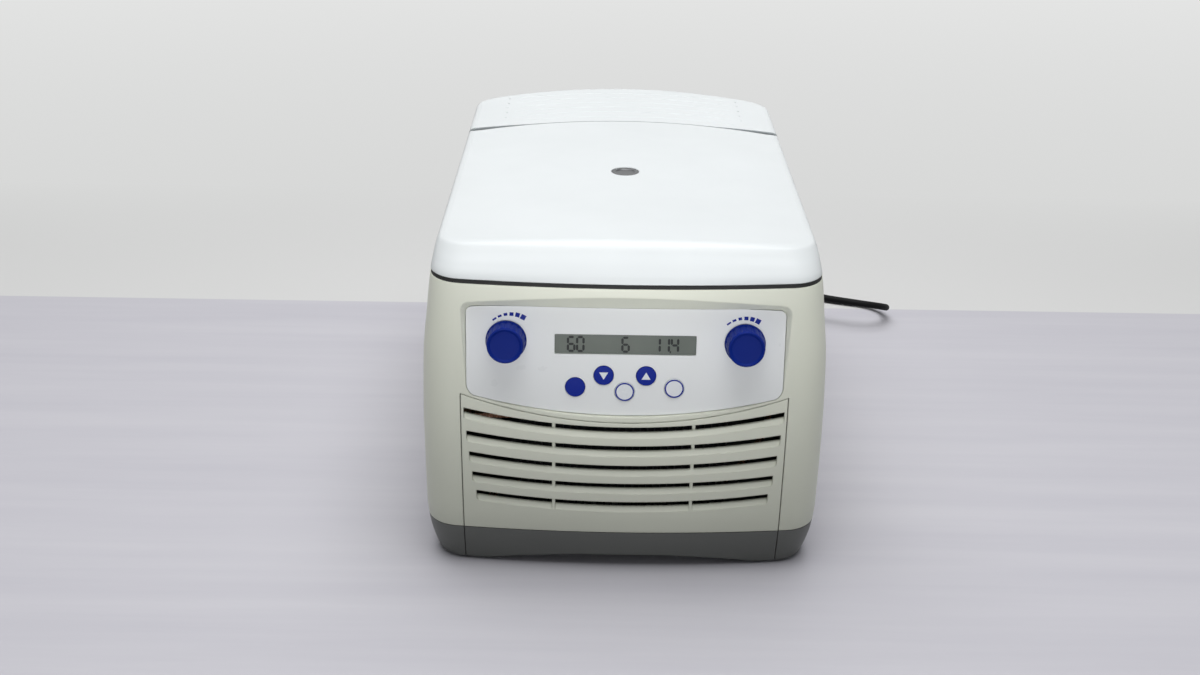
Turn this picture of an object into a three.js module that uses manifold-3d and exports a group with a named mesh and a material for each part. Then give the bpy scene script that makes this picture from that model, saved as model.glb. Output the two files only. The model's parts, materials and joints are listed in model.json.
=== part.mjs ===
// A refrigerated microcentrifuge: a moulded casing with a louvred front, a leaning
// control panel, a hinged lid over a cooled rotor chamber, and the drive, the cooling
// circuit and the electrics inside it.
//
// Millimetres, +X to the right of someone facing the panel, +Y to the back, +Z up.
// Every place is measured from the middle of the casing's footprint. The whole model
// is then moved back by half of what the knobs stand proud, so that the origin lies
// under the middle of the object.
import * as THREE from 'three';
import { mergeVertices } from 'three/addons/utils/BufferGeometryUtils.js';
import Module from 'manifold-3d';

const wasm = await Module();
wasm.setup();

// Driving dimensions

const WIDTH = 300;
const DEPTH = 460;
const HEIGHT = 263;

// Places inside the casing are given for the size at which it was drawn, and follow the
// three overall sizes. Round pieces follow the one that grew least.
const DRAWN = { width: 300, depth: 460, height: 263 };
const ACROSS = WIDTH / DRAWN.width;
const ALONG = DEPTH / DRAWN.depth;
const UP = HEIGHT / DRAWN.height;
const ROUND = Math.min(ACROSS, ALONG, UP);

const WALL = 3;
const FIT = 0.3; // between pieces that rest on or in one another
const SEAM = 0.6; // the line seen between two fixed covers
const OVERRUN = 20; // how far a cutting tool runs past what it cuts
const SMALL = 0.1; // overlap of two shapes that are joined into one piece
const FAR = 4 * (WIDTH + DEPTH + HEIGHT); // past everything

const CASING = {
  corner: 26 * ROUND, // plan radius of the four upright corners
  frontBow: 7 * ROUND, // how far the front swells between its corners
  rearBow: 20 * ROUND, // at the top; less below
  crown: 7.7 * ROUND, // fall of the top from its middle line to the full width
};

// The levels at which the casing is split into its mouldings.
const LEVEL = {
  skirtBottom: 2.5 * UP,
  floorBottom: 8 * UP,
  skirtTop: 33.7 * UP, // grey base below, pale casing above
  casingTop: 235 * UP, // deck round the chamber
  lidGap: 2, // the dark gap below the lid
};
const LID_BOTTOM = LEVEL.casingTop + LEVEL.lidGap;
const DECK = 3;
const FLOOR = 3;
const FLOOR_TOP = LEVEL.floorBottom + FLOOR;

const HINGE = {
  y: 84 * ALONG,
  z: 240 * UP,
  running: 0.8, // between the lid's round rear edge and what it turns in
  notch: 1.4, // the same at the visible round ends in the side walls
  swing: THREE.MathUtils.degToRad(65), // how far the lid opens
  lugInner: 130.5 * ACROSS, // half distance between the solid ends of the lid
  pinRadius: 3,
  pinLength: 10 * ACROSS,
  bossRadius: 9 * ROUND,
};
const SEAM_PLAN = { lead: 19.3 * ROUND, sweep: 17.6 * ROUND, halfSpan: 135 * ACROSS };

const LID = {
  wall: 3,
  lipWidth: 124 * ACROSS, // half width of the rolled rear lip
  lipDrop: 4, // how far the lip runs below the hinge line
  linerGap: 3, // above the lid's lower edge
  linerThickness: 2.5,
};
const LINER_LOW = LID_BOTTOM + LID.linerGap;

const GROOVE = {
  first: 109 * ALONG,
  pitch: 16.2 * ALONG,
  rows: 6,
  halfLength: 104 * ACROSS,
  width: 1.6,
  depth: 0.6,
  steps: 4,
};

const TROUGH = {
  clear: 3,
  wall: 2.5,
  front: 8 * ALONG, // of its front wall, before the hinge line
  lip: 8,
  end: 126 * ACROSS,
  back: THREE.MathUtils.degToRad(5),
  steps: 10,
  webBack: THREE.MathUtils.degToRad(50), // the end walls start lower, clear of the lid
  webSteps: 5,
};

const CHAMBER = {
  y: -43.7 * ALONG,
  radius: 98 * ROUND,
  wall: 1.2,
  flangeThickness: 1.2,
  bottom: 152 * UP,
  bend: 14 * ROUND,
  bendSteps: 2,
  flange: 9, // width of the rim that hangs on the deck
  shaftHole: 8 * ROUND,
  insulation: 6 * ROUND, // thickness round the coil
  insulationFloor: 12 * UP,
};
const SEAL = { width: 5, lip: 0.3, seat: 3.5 };
const SIGHT = { radius: 11, thickness: 3, ledge: 2, tubeWall: 1.8, sink: 0.4 };

const EVAPORATOR = {
  tube: 2.7,
  turns: 3,
  start: 13 * UP,
  pitch: 11 * UP,
  gap: 1.6, // to the bowl inside it and to the insulation round it
  steps: 24,
  sides: 6,
};

const ROTOR_GAP = 10; // between the rotor's rim and the bowl
const ROTOR = {
  radius: CHAMBER.radius - ROTOR_GAP,
  lift: 11 * UP, // above the floor of the bowl
  places: 18,
  boreRadius: 5.6 * ROUND,
  boreDepth: 32 * ROUND,
  rim: 2.4128, // what is left outside the lower end of a bore
  mouthHeight: 44 * ROUND,
  tilt: Math.PI / 4,
  coneShare: 0.62,
  hub: 16 * ROUND,
  hubHeight: 43 * ROUND,
};
const SHAFT = { radius: 6 * ROUND, stub: 4 * ROUND, shoulder: 2.3, top: 6 };
const NUT = { radius: 11 * ROUND, height: 10, collar: 3 };
const MOTOR = {
  radius: 42 * ROUND,
  bottom: 40 * UP,
  top: 133.5 * UP,
  flange: 48 * ROUND,
  flangeThickness: 5 * UP,
  nose: 24 * ROUND,
  bevel: 4.5,
};
const MOUNT = { inner: 27 * ROUND, outer: 39 * ROUND, waist: 3, height: 18 * UP };

const PANEL = {
  lean: THREE.MathUtils.degToRad(8),
  sunk: 3.5, // its lower edge, behind the foremost part of the casing
  z: 135 * UP,
  thickness: 2.5,
  halfWidth: 115 * ACROSS,
  top: 82.2 * UP,
  topFall: 1.3,
  bottomRise: 15.2 * UP, // of the lower edge, at the full half width
  cornerTop: 5 * ROUND,
  cornerBottom: 10 * ROUND,
  margin: 4.2, // of the recess beside and above the panel
  lowMargin: 0.8, // and below it
  ledge: 6, // how much of the recess floor carries the panel
};
const DISPLAY = {
  windowHalf: 51 * ACROSS,
  windowLow: 46.4 * UP,
  windowHigh: 60.9 * UP,
  sink: 0.2,
  lap: 4,
  front: 3.2,
  depth: 6,
  leg: 3,
};
const BOARD = {
  halfWidth: 114.5 * ACROSS,
  low: 18 * UP,
  high: 74 * UP,
  front: 12.4,
  thickness: 1.6,
  spacer: 2.5,
};
const BUTTON = {
  radius: 7.2 * ROUND,
  proud: 0.9,
  flange: 1.4,
  flangeThickness: 1.2,
  stem: 2.5 * ROUND,
  travel: 0.8,
  switchHalf: 3 * ROUND,
  switchHeight: 1.5,
};
// Name, place across and place up the panel.
const BUTTON_PLACES = [
  ['short_button', -36 * ACROSS, 21.3 * UP],
  ['temp_down_button', -15.4 * ACROSS, 30.4 * UP],
  ['temp_up_button', 15.4 * ACROSS, 30.4 * UP],
  ['fast_temp_button', 0, 18.3 * UP],
  ['open_button', 36 * ACROSS, 21.3 * UP],
];
const WHITE_BUTTONS = ['fast_temp_button', 'open_button'];
const KNOB = {
  x: PANEL.halfWidth - 29 * ACROSS,
  s: 56.2 * UP, // height of the spindle up the panel
  skirt: 14.8 * ROUND,
  height: 15.4,
  lift: 1.2, // above the panel, more than its push
  flutes: 18,
  fluteDepth: 0.45,
  wall: 2,
  socket: 5,
  rim: 2.2,
  dish: 1.4,
};
const ENCODER = {
  shaft: 3,
  bushing: 4,
  half: 6.3,
  front: 5.6,
  cavity: 4.6,
  cavityTop: 7,
  floor: 0.9,
  plate: 4,
  plateThickness: 1,
  plateFront: 8.9,
};

const GRILLE = {
  halfWidth: 119.5 * ACROSS,
  top: 130 * UP, // at the middle
  topRise: 18.6 * UP, // towards the sides
  slotHeight: 9.1 * UP,
  opening: 4, // what stays open above each louvre blade
  bladeReach: 2.2,
  blade: 3,
  lipReach: 0.6,
  ribX: 51.4 * ACROSS,
  rib: 2.4,
  ribReach: 7.5,
  topSteps: 10,
  cornerSteps: 2,
};
// The upper edge of each slot at its middle and its rise at its ends, as shares of the
// height, and its half length as a share of the half width of the louvred cover.
const slotShares = [
  [0.4817, 0.0433, 0.984],
  [0.4228, 0.0308, 0.97],
  [0.3597, 0.0281, 0.956],
  [0.3, 0.0228, 0.94],
  [0.2384, 0.0228, 0.916],
];

const ARCH = { halfSpan: 104 * ACROSS, rise: 9 * UP, steps: 12 };
const FOOT = { x: 112 * ACROSS, y: 186 * ALONG, radius: 13, foot: 11 };

const CONDENSER = {
  halfWidth: 78 * ACROSS,
  low: 46 * UP,
  high: 126 * UP,
  front: 25, // behind the foremost part of the casing
  depth: 11 * ALONG,
  fins: 30,
  fin: 1,
};
const CONDENSER_TUBE = { radius: 3.2, rows: 4, bendSteps: 6, sides: 6 };
const FAN = {
  gap: 4 * ALONG, // behind the condenser
  z: 86 * UP,
  half: 50 * ROUND,
  depth: 20 * ROUND,
  bore: 44 * ROUND,
  hub: 15 * ROUND,
  hubDepth: 12 * ROUND,
  reach: 41.5 * ROUND,
  blades: 7,
  blade: 1.6,
  pitch: THREE.MathUtils.degToRad(38),
  strut: 5,
};

const COMPRESSOR = {
  x: -66 * ACROSS,
  y: 158 * ALONG,
  radius: 50 * ROUND,
  foot: 19 * UP,
  top: 140 * UP,
  base: 108 * ROUND,
  plate: 3,
  seam: 3,
  grommet: 6,
};
const PIPE = { radius: 3, capillary: 1.5, sides: 6, steps: 24 };
const DRIER = { x: 128 * ACROSS, y: 40 * ALONG, radius: 8, length: 60 * ALONG, neck: 6 };
const SUPPLY = {
  x: 76 * ACROSS,
  y: 152 * ALONG,
  halfX: 50 * ACROSS,
  halfY: 44 * ALONG,
  level: 20 * UP,
  board: 1.6,
  post: 3,
};

const REAR = { halfWidth: 118 * ACROSS, low: 38 * UP, high: 229 * UP, thickness: 1.5, inset: 10.4, lap: 6 };
const VENT = {
  halfLength: 27 * ACROSS,
  height: 3.4 * UP,
  pitch: 8.5 * UP,
  rows: 7,
  x: 62 * ACROSS,
  low: 140 * UP,
};
const INLET = {
  x: 85 * ACROSS,
  z: REAR.low + 26, // of the socket's middle
  low: 16,
  high: 47,
  half: 16,
  depth: 26,
  flange: 2,
  lap: 2,
};
const SOCKET = {
  halfX: 12.4,
  halfZ: 8.4,
  depth: 15,
  pinX: 6.2,
  pinZ: 3.4,
  pinHalfX: 1,
  pinHalfZ: 1.5,
  pinGap: 4,
};
const ROCKER = { rise: 35, halfX: 9, halfZ: 6.5, depth: 9, proud: 2.2, swing: 12 };

const LATCH = {
  strikerY: -186 * ALONG,
  strikerHalf: 7,
  striker: 2.5,
  strikerBottom: 26, // below the plate of the lid
  windowHalf: 4,
  windowLow: 22.5,
  windowHigh: 14,
  pivotBack: 13, // behind the striker
  pivotDrop: 40,
  hookHalf: 2.8,
  hookRadius: 5,
  hookSteps: 8,
  pin: 2,
  cheek: 2,
  cheekGap: 4,
  slotHalf: 9,
  slotFront: 12,
  slotBack: 14,
  release: THREE.MathUtils.degToRad(20),
  motor: 6,
  motorLength: 22,
};

const CORD = { radius: 3.5, sides: 8, steps: 54, lie: 0.2 };
const CONNECTOR = { halfX: 14, halfZ: 10, length: 30, noseFit: 0.4, relief: 26, reliefRadius: 6.5 };
const PLUG = {
  half: 15,
  length: 36,
  relief: 24,
  neck: 5.5,
  blade: { half: 0.8, halfHeight: 3.2, apart: 6.4, rise: 4.4, length: 18 },
  round: { radius: 2.4, drop: 7.2 },
};
// The coil of spare lead: an even number of layers, so that both ends lie outside.
const COIL = {
  x: 20,
  y: 105, // behind the casing's rear
  inner: 28.2,
  pitch: 7.7,
  layer: 7.6,
  turns: 5,
  steps: 24,
  sides: 6,
  fine: 8,
};

// Unit frames for extruded outlines: drawn in the first two directions, extruded along
// the third.

const X = new THREE.Vector3(1, 0, 0);
const Y = new THREE.Vector3(0, 1, 0);
const Z = new THREE.Vector3(0, 0, 1);
const FROM_TOP = new THREE.Matrix4();
const FROM_FRONT = new THREE.Matrix4().makeBasis(X, Z, Y.clone().negate());
const FROM_SIDE = new THREE.Matrix4().makeBasis(Y, Z, X);
const PANEL_UP = new THREE.Vector3(0, Math.sin(PANEL.lean), Math.cos(PANEL.lean));
const PANEL_OUT = new THREE.Vector3(0, -Math.cos(PANEL.lean), Math.sin(PANEL.lean));
const ON_PANEL = new THREE.Matrix4()
  .makeBasis(X, PANEL_UP, PANEL_OUT)
  .setPosition(0, PANEL.sunk - DEPTH / 2, PANEL.z);

const RIGHT_ANGLE = Math.PI / 2;
const LOW_CORNER = -Math.PI / 3; // the arc of a rounded low corner starts here

// Solids

function signedVolume(position, index) {
  const a = new THREE.Vector3();
  const b = new THREE.Vector3();
  const c = new THREE.Vector3();
  let volume = 0;
  for (let i = 0; i < index.length; i += 3) {
    a.fromBufferAttribute(position, index[i]);
    b.fromBufferAttribute(position, index[i + 1]);
    c.fromBufferAttribute(position, index[i + 2]);
    volume += a.dot(b.cross(c)) / 6;
  }
  return volume;
}

// A closed geometry as a solid with its faces pointing out.
function solid(geometry) {
  const bare = geometry.clone();
  bare.deleteAttribute('normal');
  bare.deleteAttribute('uv');
  const merged = mergeVertices(bare);
  const faces = [];
  const index = merged.index.array;
  for (let i = 0; i < index.length; i += 3) {
    const [a, b, c] = [index[i], index[i + 1], index[i + 2]];
    if (a !== b && b !== c && c !== a) {
      faces.push(a, b, c);
    }
  }
  if (signedVolume(merged.attributes.position, faces) < 0) {
    faces.reverse();
  }
  const vertProperties = new Float32Array(merged.attributes.position.array);
  const triVerts = new Uint32Array(faces);
  return new wasm.Manifold(new wasm.Mesh({ numProp: 3, vertProperties, triVerts }));
}

function join(first, ...others) {
  return others.reduce((whole, piece) => whole.add(piece), first);
}

function cut(first, ...tools) {
  return tools.reduce((whole, tool) => whole.subtract(tool), first);
}

function geometryOf(manifold) {
  const { vertProperties, triVerts } = manifold.getMesh();
  const geometry = new THREE.BufferGeometry();
  geometry.setAttribute('position', new THREE.BufferAttribute(vertProperties, 3));
  geometry.setIndex(new THREE.BufferAttribute(triVerts, 1));
  geometry.computeVertexNormals();
  return geometry;
}

function moved(manifold, matrix) {
  return solid(geometryOf(manifold).applyMatrix4(matrix));
}

function box(x0, x1, y0, y1, z0, z1) {
  const geometry = new THREE.BoxGeometry(x1 - x0, y1 - y0, z1 - z0);
  geometry.translate((x0 + x1) / 2, (y0 + y1) / 2, (z0 + z1) / 2);
  return solid(geometry);
}

// A box that reaches as far to the left of the middle plane as to the right.
function slab(halfX, y0, y1, z0, z1) {
  return box(-halfX, halfX, y0, y1, z0, z1);
}

// A box given by its middle across and its half widths, between two levels.
function block(x, y, halfX, halfY, low, high) {
  return box(x - halfX, x + halfX, y - halfY, y + halfY, low, high);
}

function inFrontOf(y) {
  return slab(FAR, -FAR, y, -FAR, FAR);
}

function behind(y) {
  return slab(FAR, y, FAR, -FAR, FAR);
}

// An outline, a list of [x, y], extruded from near to far along the frame's third axis.
function prism(outline, near, far, frame) {
  const shape = new THREE.Shape(outline.map(([x, y]) => new THREE.Vector2(x, y)));
  const geometry = new THREE.ExtrudeGeometry(shape, { depth: far - near, bevelEnabled: false });
  geometry.translate(0, 0, near);
  geometry.applyMatrix4(frame);
  return solid(geometry);
}

function rectangle(x0, x1, y0, y1) {
  return [[x0, y0], [x1, y0], [x1, y1], [x0, y1]];
}

function arc(x, y, radius, from, to, steps) {
  const points = [];
  for (let i = 0; i <= steps; i += 1) {
    const angle = from + ((to - from) * i) / steps;
    points.push([x + radius * Math.cos(angle), y + radius * Math.sin(angle)]);
  }
  return points;
}

function circle(x, y, radius, sides) {
  return arc(x, y, radius, 0, 2 * Math.PI, sides).slice(0, sides);
}

// A height over each x between two ends, as outline points.
function curve(height, from, to, steps) {
  const points = [];
  for (let i = 0; i <= steps; i += 1) {
    const x = from + ((to - from) * i) / steps;
    points.push([x, height(x)]);
  }
  return points;
}

// A profile of [radius, height] turned about the third axis of a frame, through a place
// in its first two directions.
function turned(profile, segments, x, y, frame = FROM_TOP) {
  const points = profile.map(([radius, height]) => new THREE.Vector2(radius, height));
  const geometry = new THREE.LatheGeometry(points, segments);
  geometry.rotateX(RIGHT_ANGLE);
  geometry.translate(x, y, 0);
  geometry.applyMatrix4(frame);
  return solid(geometry);
}

function disc(radius, low, high) {
  return [[0, low], [radius, low], [radius, high], [0, high]];
}

function ring(inner, outer, low, high) {
  return [[inner, low], [outer, low], [outer, high], [inner, high], [inner, low]];
}

// How many sides a round shape gets, by its size.
const SIDES = { tiny: 8, small: 12, medium: 18, large: 32 };

// Two-part rings of points, all of one length, joined into a closed skin. Each ring is
// a front half and a rear half, both from left to right, so the ends close in strips.
function loft(rings) {
  const count = rings[0].front.length;
  const positions = [];
  const faces = [];
  rings.forEach(({ front, rear }) => {
    [...front, ...[...rear].reverse()].forEach((point) => positions.push(...point));
  });
  const around = 2 * count;
  for (let level = 0; level + 1 < rings.length; level += 1) {
    for (let i = 0; i < around; i += 1) {
      const a = level * around + i;
      const b = level * around + ((i + 1) % around);
      faces.push(a, b, b + around, a, b + around, a + around);
    }
  }
  const top = (rings.length - 1) * around;
  for (let i = 0; i + 1 < count; i += 1) {
    const j = around - 1 - i;
    faces.push(i, j, j - 1, i, j - 1, i + 1);
    faces.push(top + i, top + i + 1, top + j - 1, top + i, top + j - 1, top + j);
  }
  const geometry = new THREE.BufferGeometry();
  geometry.setAttribute('position', new THREE.Float32BufferAttribute(positions, 3));
  geometry.setIndex(faces);
  return solid(geometry);
}

// A round tube through the points of its centre line. The line keeps clear of the
// direction given as up.
function tubeThrough(points, radius, sides, up) {
  const positions = [];
  const faces = [];
  points.forEach((point, i) => {
    const before = points[Math.max(i - 1, 0)];
    const after = points[Math.min(i + 1, points.length - 1)];
    const along = after.clone().sub(before).normalize();
    const side = along.clone().cross(up).normalize();
    const over = side.clone().cross(along);
    for (let k = 0; k < sides; k += 1) {
      const angle = (2 * Math.PI * (k + 1 / 2)) / sides;
      const at = point.clone()
        .addScaledVector(side, radius * Math.cos(angle))
        .addScaledVector(over, radius * Math.sin(angle));
      positions.push(at.x, at.y, at.z);
    }
  });
  for (let i = 0; i + 1 < points.length; i += 1) {
    for (let k = 0; k < sides; k += 1) {
      const a = i * sides + k;
      const b = i * sides + ((k + 1) % sides);
      faces.push(a, b, b + sides, a, b + sides, a + sides);
    }
  }
  const last = (points.length - 1) * sides;
  for (let k = 1; k + 1 < sides; k += 1) {
    faces.push(0, k + 1, k, last, last + k, last + k + 1);
  }
  const geometry = new THREE.BufferGeometry();
  geometry.setAttribute('position', new THREE.Float32BufferAttribute(positions, 3));
  geometry.setIndex(faces);
  return solid(geometry);
}

// A pipe along a smooth curve through [x, y, z] points.
function pipe(points, radius, sides, steps) {
  const path = new THREE.CatmullRomCurve3(
    points.map((point) => new THREE.Vector3(...point)),
    false,
    'centripetal',
  );
  const section = new THREE.Shape(circle(0, 0, radius, sides).map((p) => new THREE.Vector2(...p)));
  const options = { steps, extrudePath: path, bevelEnabled: false };
  return solid(new THREE.ExtrudeGeometry(section, options));
}

// The least gap of a wound tube to itself, measured between points of its centre line
// that lie more than a given number of points apart.
function leastGap(points, radius, apart) {
  let least = Infinity;
  points.forEach((point, i) => {
    for (let k = i + apart; k < points.length; k += 1) {
      least = Math.min(least, point.distanceTo(points[k]) - 2 * radius);
    }
  });
  return least;
}

// The casing: one swelling form that every outer moulding is cut from

// Height, half width, front and rear, as shares of HEIGHT and of half the WIDTH and
// DEPTH, then the shares of the crown and of the rear bow that each level has.
const casingShares = [
  [0, 0.95, 0.938, 0.985, 0, 0.25],
  [0.055, 0.976, 0.955, 0.992, 0, 0.25],
  [0.114, 0.993, 0.972, 0.998, 0, 0.25],
  [0.19, 1, 0.986, 1, 0, 0.25],
  [0.44, 1, 1, 1, 0, 0.25],
  [0.65, 0.991, 0.995, 1, 0, 0.25],
  [0.78, 0.969, 0.988, 0.999, 0, 0.25],
  [0.901, 0.945, 0.978, 0.997, 0, 0.3],
  [0.94, 0.935, 0.952, 0.993, 0.35, 0.5],
  [0.97, 0.929, 0.926, 0.985, 0.8, 0.75],
  [0.988, 0.917, 0.906, 0.974, 1, 0.9],
  [0.997, 0.897, 0.886, 0.957, 1, 1],
  [1, 0.86, 0.855, 0.925, 1, 1],
];
const CASING_STEPS = { edge: 6, corner: 3 };

// The casing's measures at a level, for a skin that lies inset behind the outer one.
function casingAt(level, inset) {
  const share = Math.min(Math.max(level / (HEIGHT - inset), 0), 1);
  let row = 0;
  while (row + 2 < casingShares.length && casingShares[row + 1][0] < share) {
    row += 1;
  }
  const [low, high] = [casingShares[row], casingShares[row + 1]];
  const blend = (share - low[0]) / (high[0] - low[0]);
  const [, width, front, rear, crown, bow] = low.map((v, i) => v + (high[i] - v) * blend);
  return {
    halfWidth: (width * WIDTH) / 2 - inset,
    front: (front * DEPTH) / 2 - inset,
    rear: (rear * DEPTH) / 2 - inset,
    crown: crown * CASING.crown,
    rearBow: bow * CASING.rearBow,
  };
}

function crownFall(x, crown) {
  return crown * (x / (WIDTH / 2)) ** 2;
}

// One bowed edge of the casing with its two corners, from left to right.
function casingEdge(bow, reach, halfWidth, radius) {
  const slope = Math.atan((2 * bow) / (halfWidth - radius));
  const edge = halfWidth - radius + radius * Math.sin(slope);
  const y = (x) => reach - bow * (x / edge) ** 2;
  const x0 = edge - radius * Math.sin(slope);
  const y0 = y(edge) - radius * Math.cos(slope);
  const right = arc(x0, y0, radius, RIGHT_ANGLE - slope, 0, CASING_STEPS.corner);
  const left = right.map(([x, yy]) => [-x, yy]).reverse();
  return [...left, ...curve(y, -edge, edge, CASING_STEPS.edge).slice(1, -1), ...right];
}

// One level of the casing as a front half and a rear half, from left to right.
function casingRing(level, inset) {
  const at = casingAt(level, inset);
  const radius = CASING.corner - inset;
  const half = (bow, reach, facing) => {
    const edge = casingEdge(bow, reach, at.halfWidth, radius);
    return edge.map(([x, y]) => [x, facing * y, level - crownFall(x, at.crown)]);
  };
  return { front: half(CASING.frontBow, at.front, -1), rear: half(at.rearBow, at.rear, 1) };
}

// The casing between two levels, set in from the outer skin by inset all round.
function casingSolid(low, high, inset) {
  const levels = [low];
  casingShares.forEach(([share]) => {
    const level = share * (HEIGHT - inset);
    if (level > low + SMALL && level < high - SMALL) {
      levels.push(level);
    }
  });
  levels.push(high);
  return loft(levels.map((level) => casingRing(level, inset)));
}

// Where the outer skin of the front lies at x and a level.
function frontSkin(x, level) {
  const at = casingAt(level, 0);
  const edge = at.halfWidth - CASING.corner;
  return -at.front + CASING.frontBow * (x / edge) ** 2;
}

const FRONT_ZONE = CASING.corner + WALL - DEPTH / 2; // cuts into the front end here

function frontTool(outline) {
  return prism(outline, -FRONT_ZONE, FAR, FROM_FRONT);
}

// The hinge line and the round rear edge of the lid

function topAt(x) {
  return HEIGHT - crownFall(x, CASING.crown);
}

function seamAt(x) {
  return HINGE.y + SEAM_PLAN.lead - SEAM_PLAN.sweep * (x / SEAM_PLAN.halfSpan) ** 2;
}

function seamRadius(x) {
  return Math.hypot(seamAt(x) - HINGE.y, topAt(x) - HINGE.z);
}

// The lid's rear edge is turned about the hinge line, so that it rolls out of the way
// under the rear cover. Its radius changes with x, as the seam in the top sweeps.
const HINGE_STEPS = { along: 8, around: 24 };

function turnedAboutHinge(radiusAt, halfLength) {
  const profile = curve(radiusAt, -halfLength, halfLength, HINGE_STEPS.along)
    .map(([x, radius]) => new THREE.Vector2(radius, x));
  profile.unshift(new THREE.Vector2(0, -halfLength));
  profile.push(new THREE.Vector2(0, halfLength));
  const geometry = new THREE.LatheGeometry(profile, HINGE_STEPS.around);
  geometry.rotateZ(-RIGHT_ANGLE);
  geometry.translate(0, HINGE.y, HINGE.z);
  return solid(geometry);
}

function hingeRound(offset, halfLength) {
  return turnedAboutHinge((x) => seamRadius(x) + offset, halfLength);
}

// What the opening lid sweeps: its round edge and, near the sides, the part of its top
// that comes over the hinge line behind it.
function sweptByLid(halfLength) {
  const radius = (x) => Math.max(
    seamRadius(x) + HINGE.running,
    (topAt(x) - HINGE.z) / Math.cos(HINGE.swing / 2) + HINGE.running,
  );
  return turnedAboutHinge(radius, halfLength);
}

function hingeBore() {
  const outline = circle(HINGE.y, HINGE.z, HINGE.pinRadius + FIT, SIDES.small);
  const reach = HINGE.lugInner + HINGE.pinLength;
  return prism(outline, -reach, reach, FROM_SIDE);
}

// The lid: a top with a rolled rear lip between two solid ends, hollow below, with a
// stepped hole for the sight glass.
function lidCover() {
  const outer = join(
    casingSolid(LID_BOTTOM, HEIGHT, 0).intersect(inFrontOf(HINGE.y)),
    casingSolid(HINGE.z - seamRadius(0) - OVERRUN, HEIGHT, 0)
      .intersect(hingeRound(0, WIDTH / 2 + OVERRUN)),
  );
  const room = casingSolid(HINGE.z - 3 * OVERRUN, HEIGHT - LID.wall, LID.wall);
  const [front, rear] = [HINGE.y - seamRadius(0) - OVERRUN, HINGE.y + seamRadius(0) + OVERRUN];
  const nearHinge = HINGE.y - seamRadius(0);
  const clearBoss = HINGE.z + HINGE.bossRadius + HINGE.running;
  const ledge = HEIGHT - SIGHT.sink - SIGHT.thickness / 2;
  return cut(
    outer,
    room.intersect(inFrontOf(nearHinge)),
    room.intersect(slab(HINGE.lugInner, front, HINGE.y, -FAR, FAR)),
    slab(HINGE.lugInner, front, HINGE.y, -FAR, LID_BOTTOM),
    hingeRound(-LID.wall, LID.lipWidth).intersect(room).intersect(behind(HINGE.y - SMALL)),
    slab(LID.lipWidth, HINGE.y - SMALL, rear, -FAR, HINGE.z - LID.lipDrop),
    slab(HINGE.lugInner, nearHinge, rear, -FAR, clearBoss)
      .subtract(slab(LID.lipWidth, nearHinge, rear, -FAR, clearBoss)),
    hingeBore(),
    turned(disc(SIGHT.radius - SIGHT.ledge, 0, FAR), SIDES.medium, 0, CHAMBER.y),
    turned(disc(SIGHT.radius + FIT, ledge, FAR), SIDES.medium, 0, CHAMBER.y),
  );
}

// A stepped pane: a wide rim on the ledge of the lid and a plug in the hole below it.
function sightGlass() {
  const top = HEIGHT - SIGHT.sink;
  const step = top - SIGHT.thickness / 2 + FIT;
  const plug = SIGHT.radius - SIGHT.ledge - FIT;
  const low = top - SIGHT.thickness;
  return turned(
    [[0, low], [plug, low], [plug, step], [SIGHT.radius, step], [SIGHT.radius, top], [0, top]],
    SIDES.medium,
    0,
    CHAMBER.y,
  );
}

const SEAL_RADIUS = CHAMBER.radius + SEAL.seat;
const BOWL_TOP = LEVEL.casingTop + FIT + CHAMBER.flangeThickness;

// The inner plate of the lid, with the tube that the sight glass looks through and a
// stiffening ring over the seal.
function lidLiner() {
  const top = LINER_LOW + LID.linerThickness;
  const under = HEIGHT - LID.wall - FIT - SIGHT.sink;
  const hole = SIGHT.radius - SIGHT.ledge;
  const rear = HINGE.y - seamRadius(0) - FIT;
  const inside = casingSolid(LID_BOTTOM, under, LID.wall + FIT)
    .intersect(slab(FAR, -FAR, rear, LINER_LOW, FAR));
  const plate = inside.intersect(slab(FAR, -FAR, FAR, 0, top));
  const tube = turned(
    ring(hole, hole + SIGHT.tubeWall, LINER_LOW + SMALL, under),
    SIDES.medium,
    0,
    CHAMBER.y,
  );
  const stiffener = turned(
    ring(SEAL_RADIUS - SEAL.width, SEAL_RADIUS + SEAL.width, top - SMALL, top + SEAL.width),
    SIDES.large,
    0,
    CHAMBER.y,
  );
  const bore = turned(disc(hole + SMALL, 0, top + SMALL), SIDES.medium, 0, CHAMBER.y);
  return join(cut(plate, bore), tube, stiffener.intersect(inside));
}

function lidSeal() {
  const [inner, outer] = [SEAL_RADIUS - SEAL.width / 2, SEAL_RADIUS + SEAL.width / 2];
  const top = LINER_LOW - FIT;
  const low = BOWL_TOP + FIT;
  return turned(
    [[inner, top], [inner, low + SEAL.lip], [SEAL_RADIUS, low], [outer, low + SEAL.lip],
      [outer, top], [inner, top]],
    SIDES.large,
    0,
    CHAMBER.y,
  );
}

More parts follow.
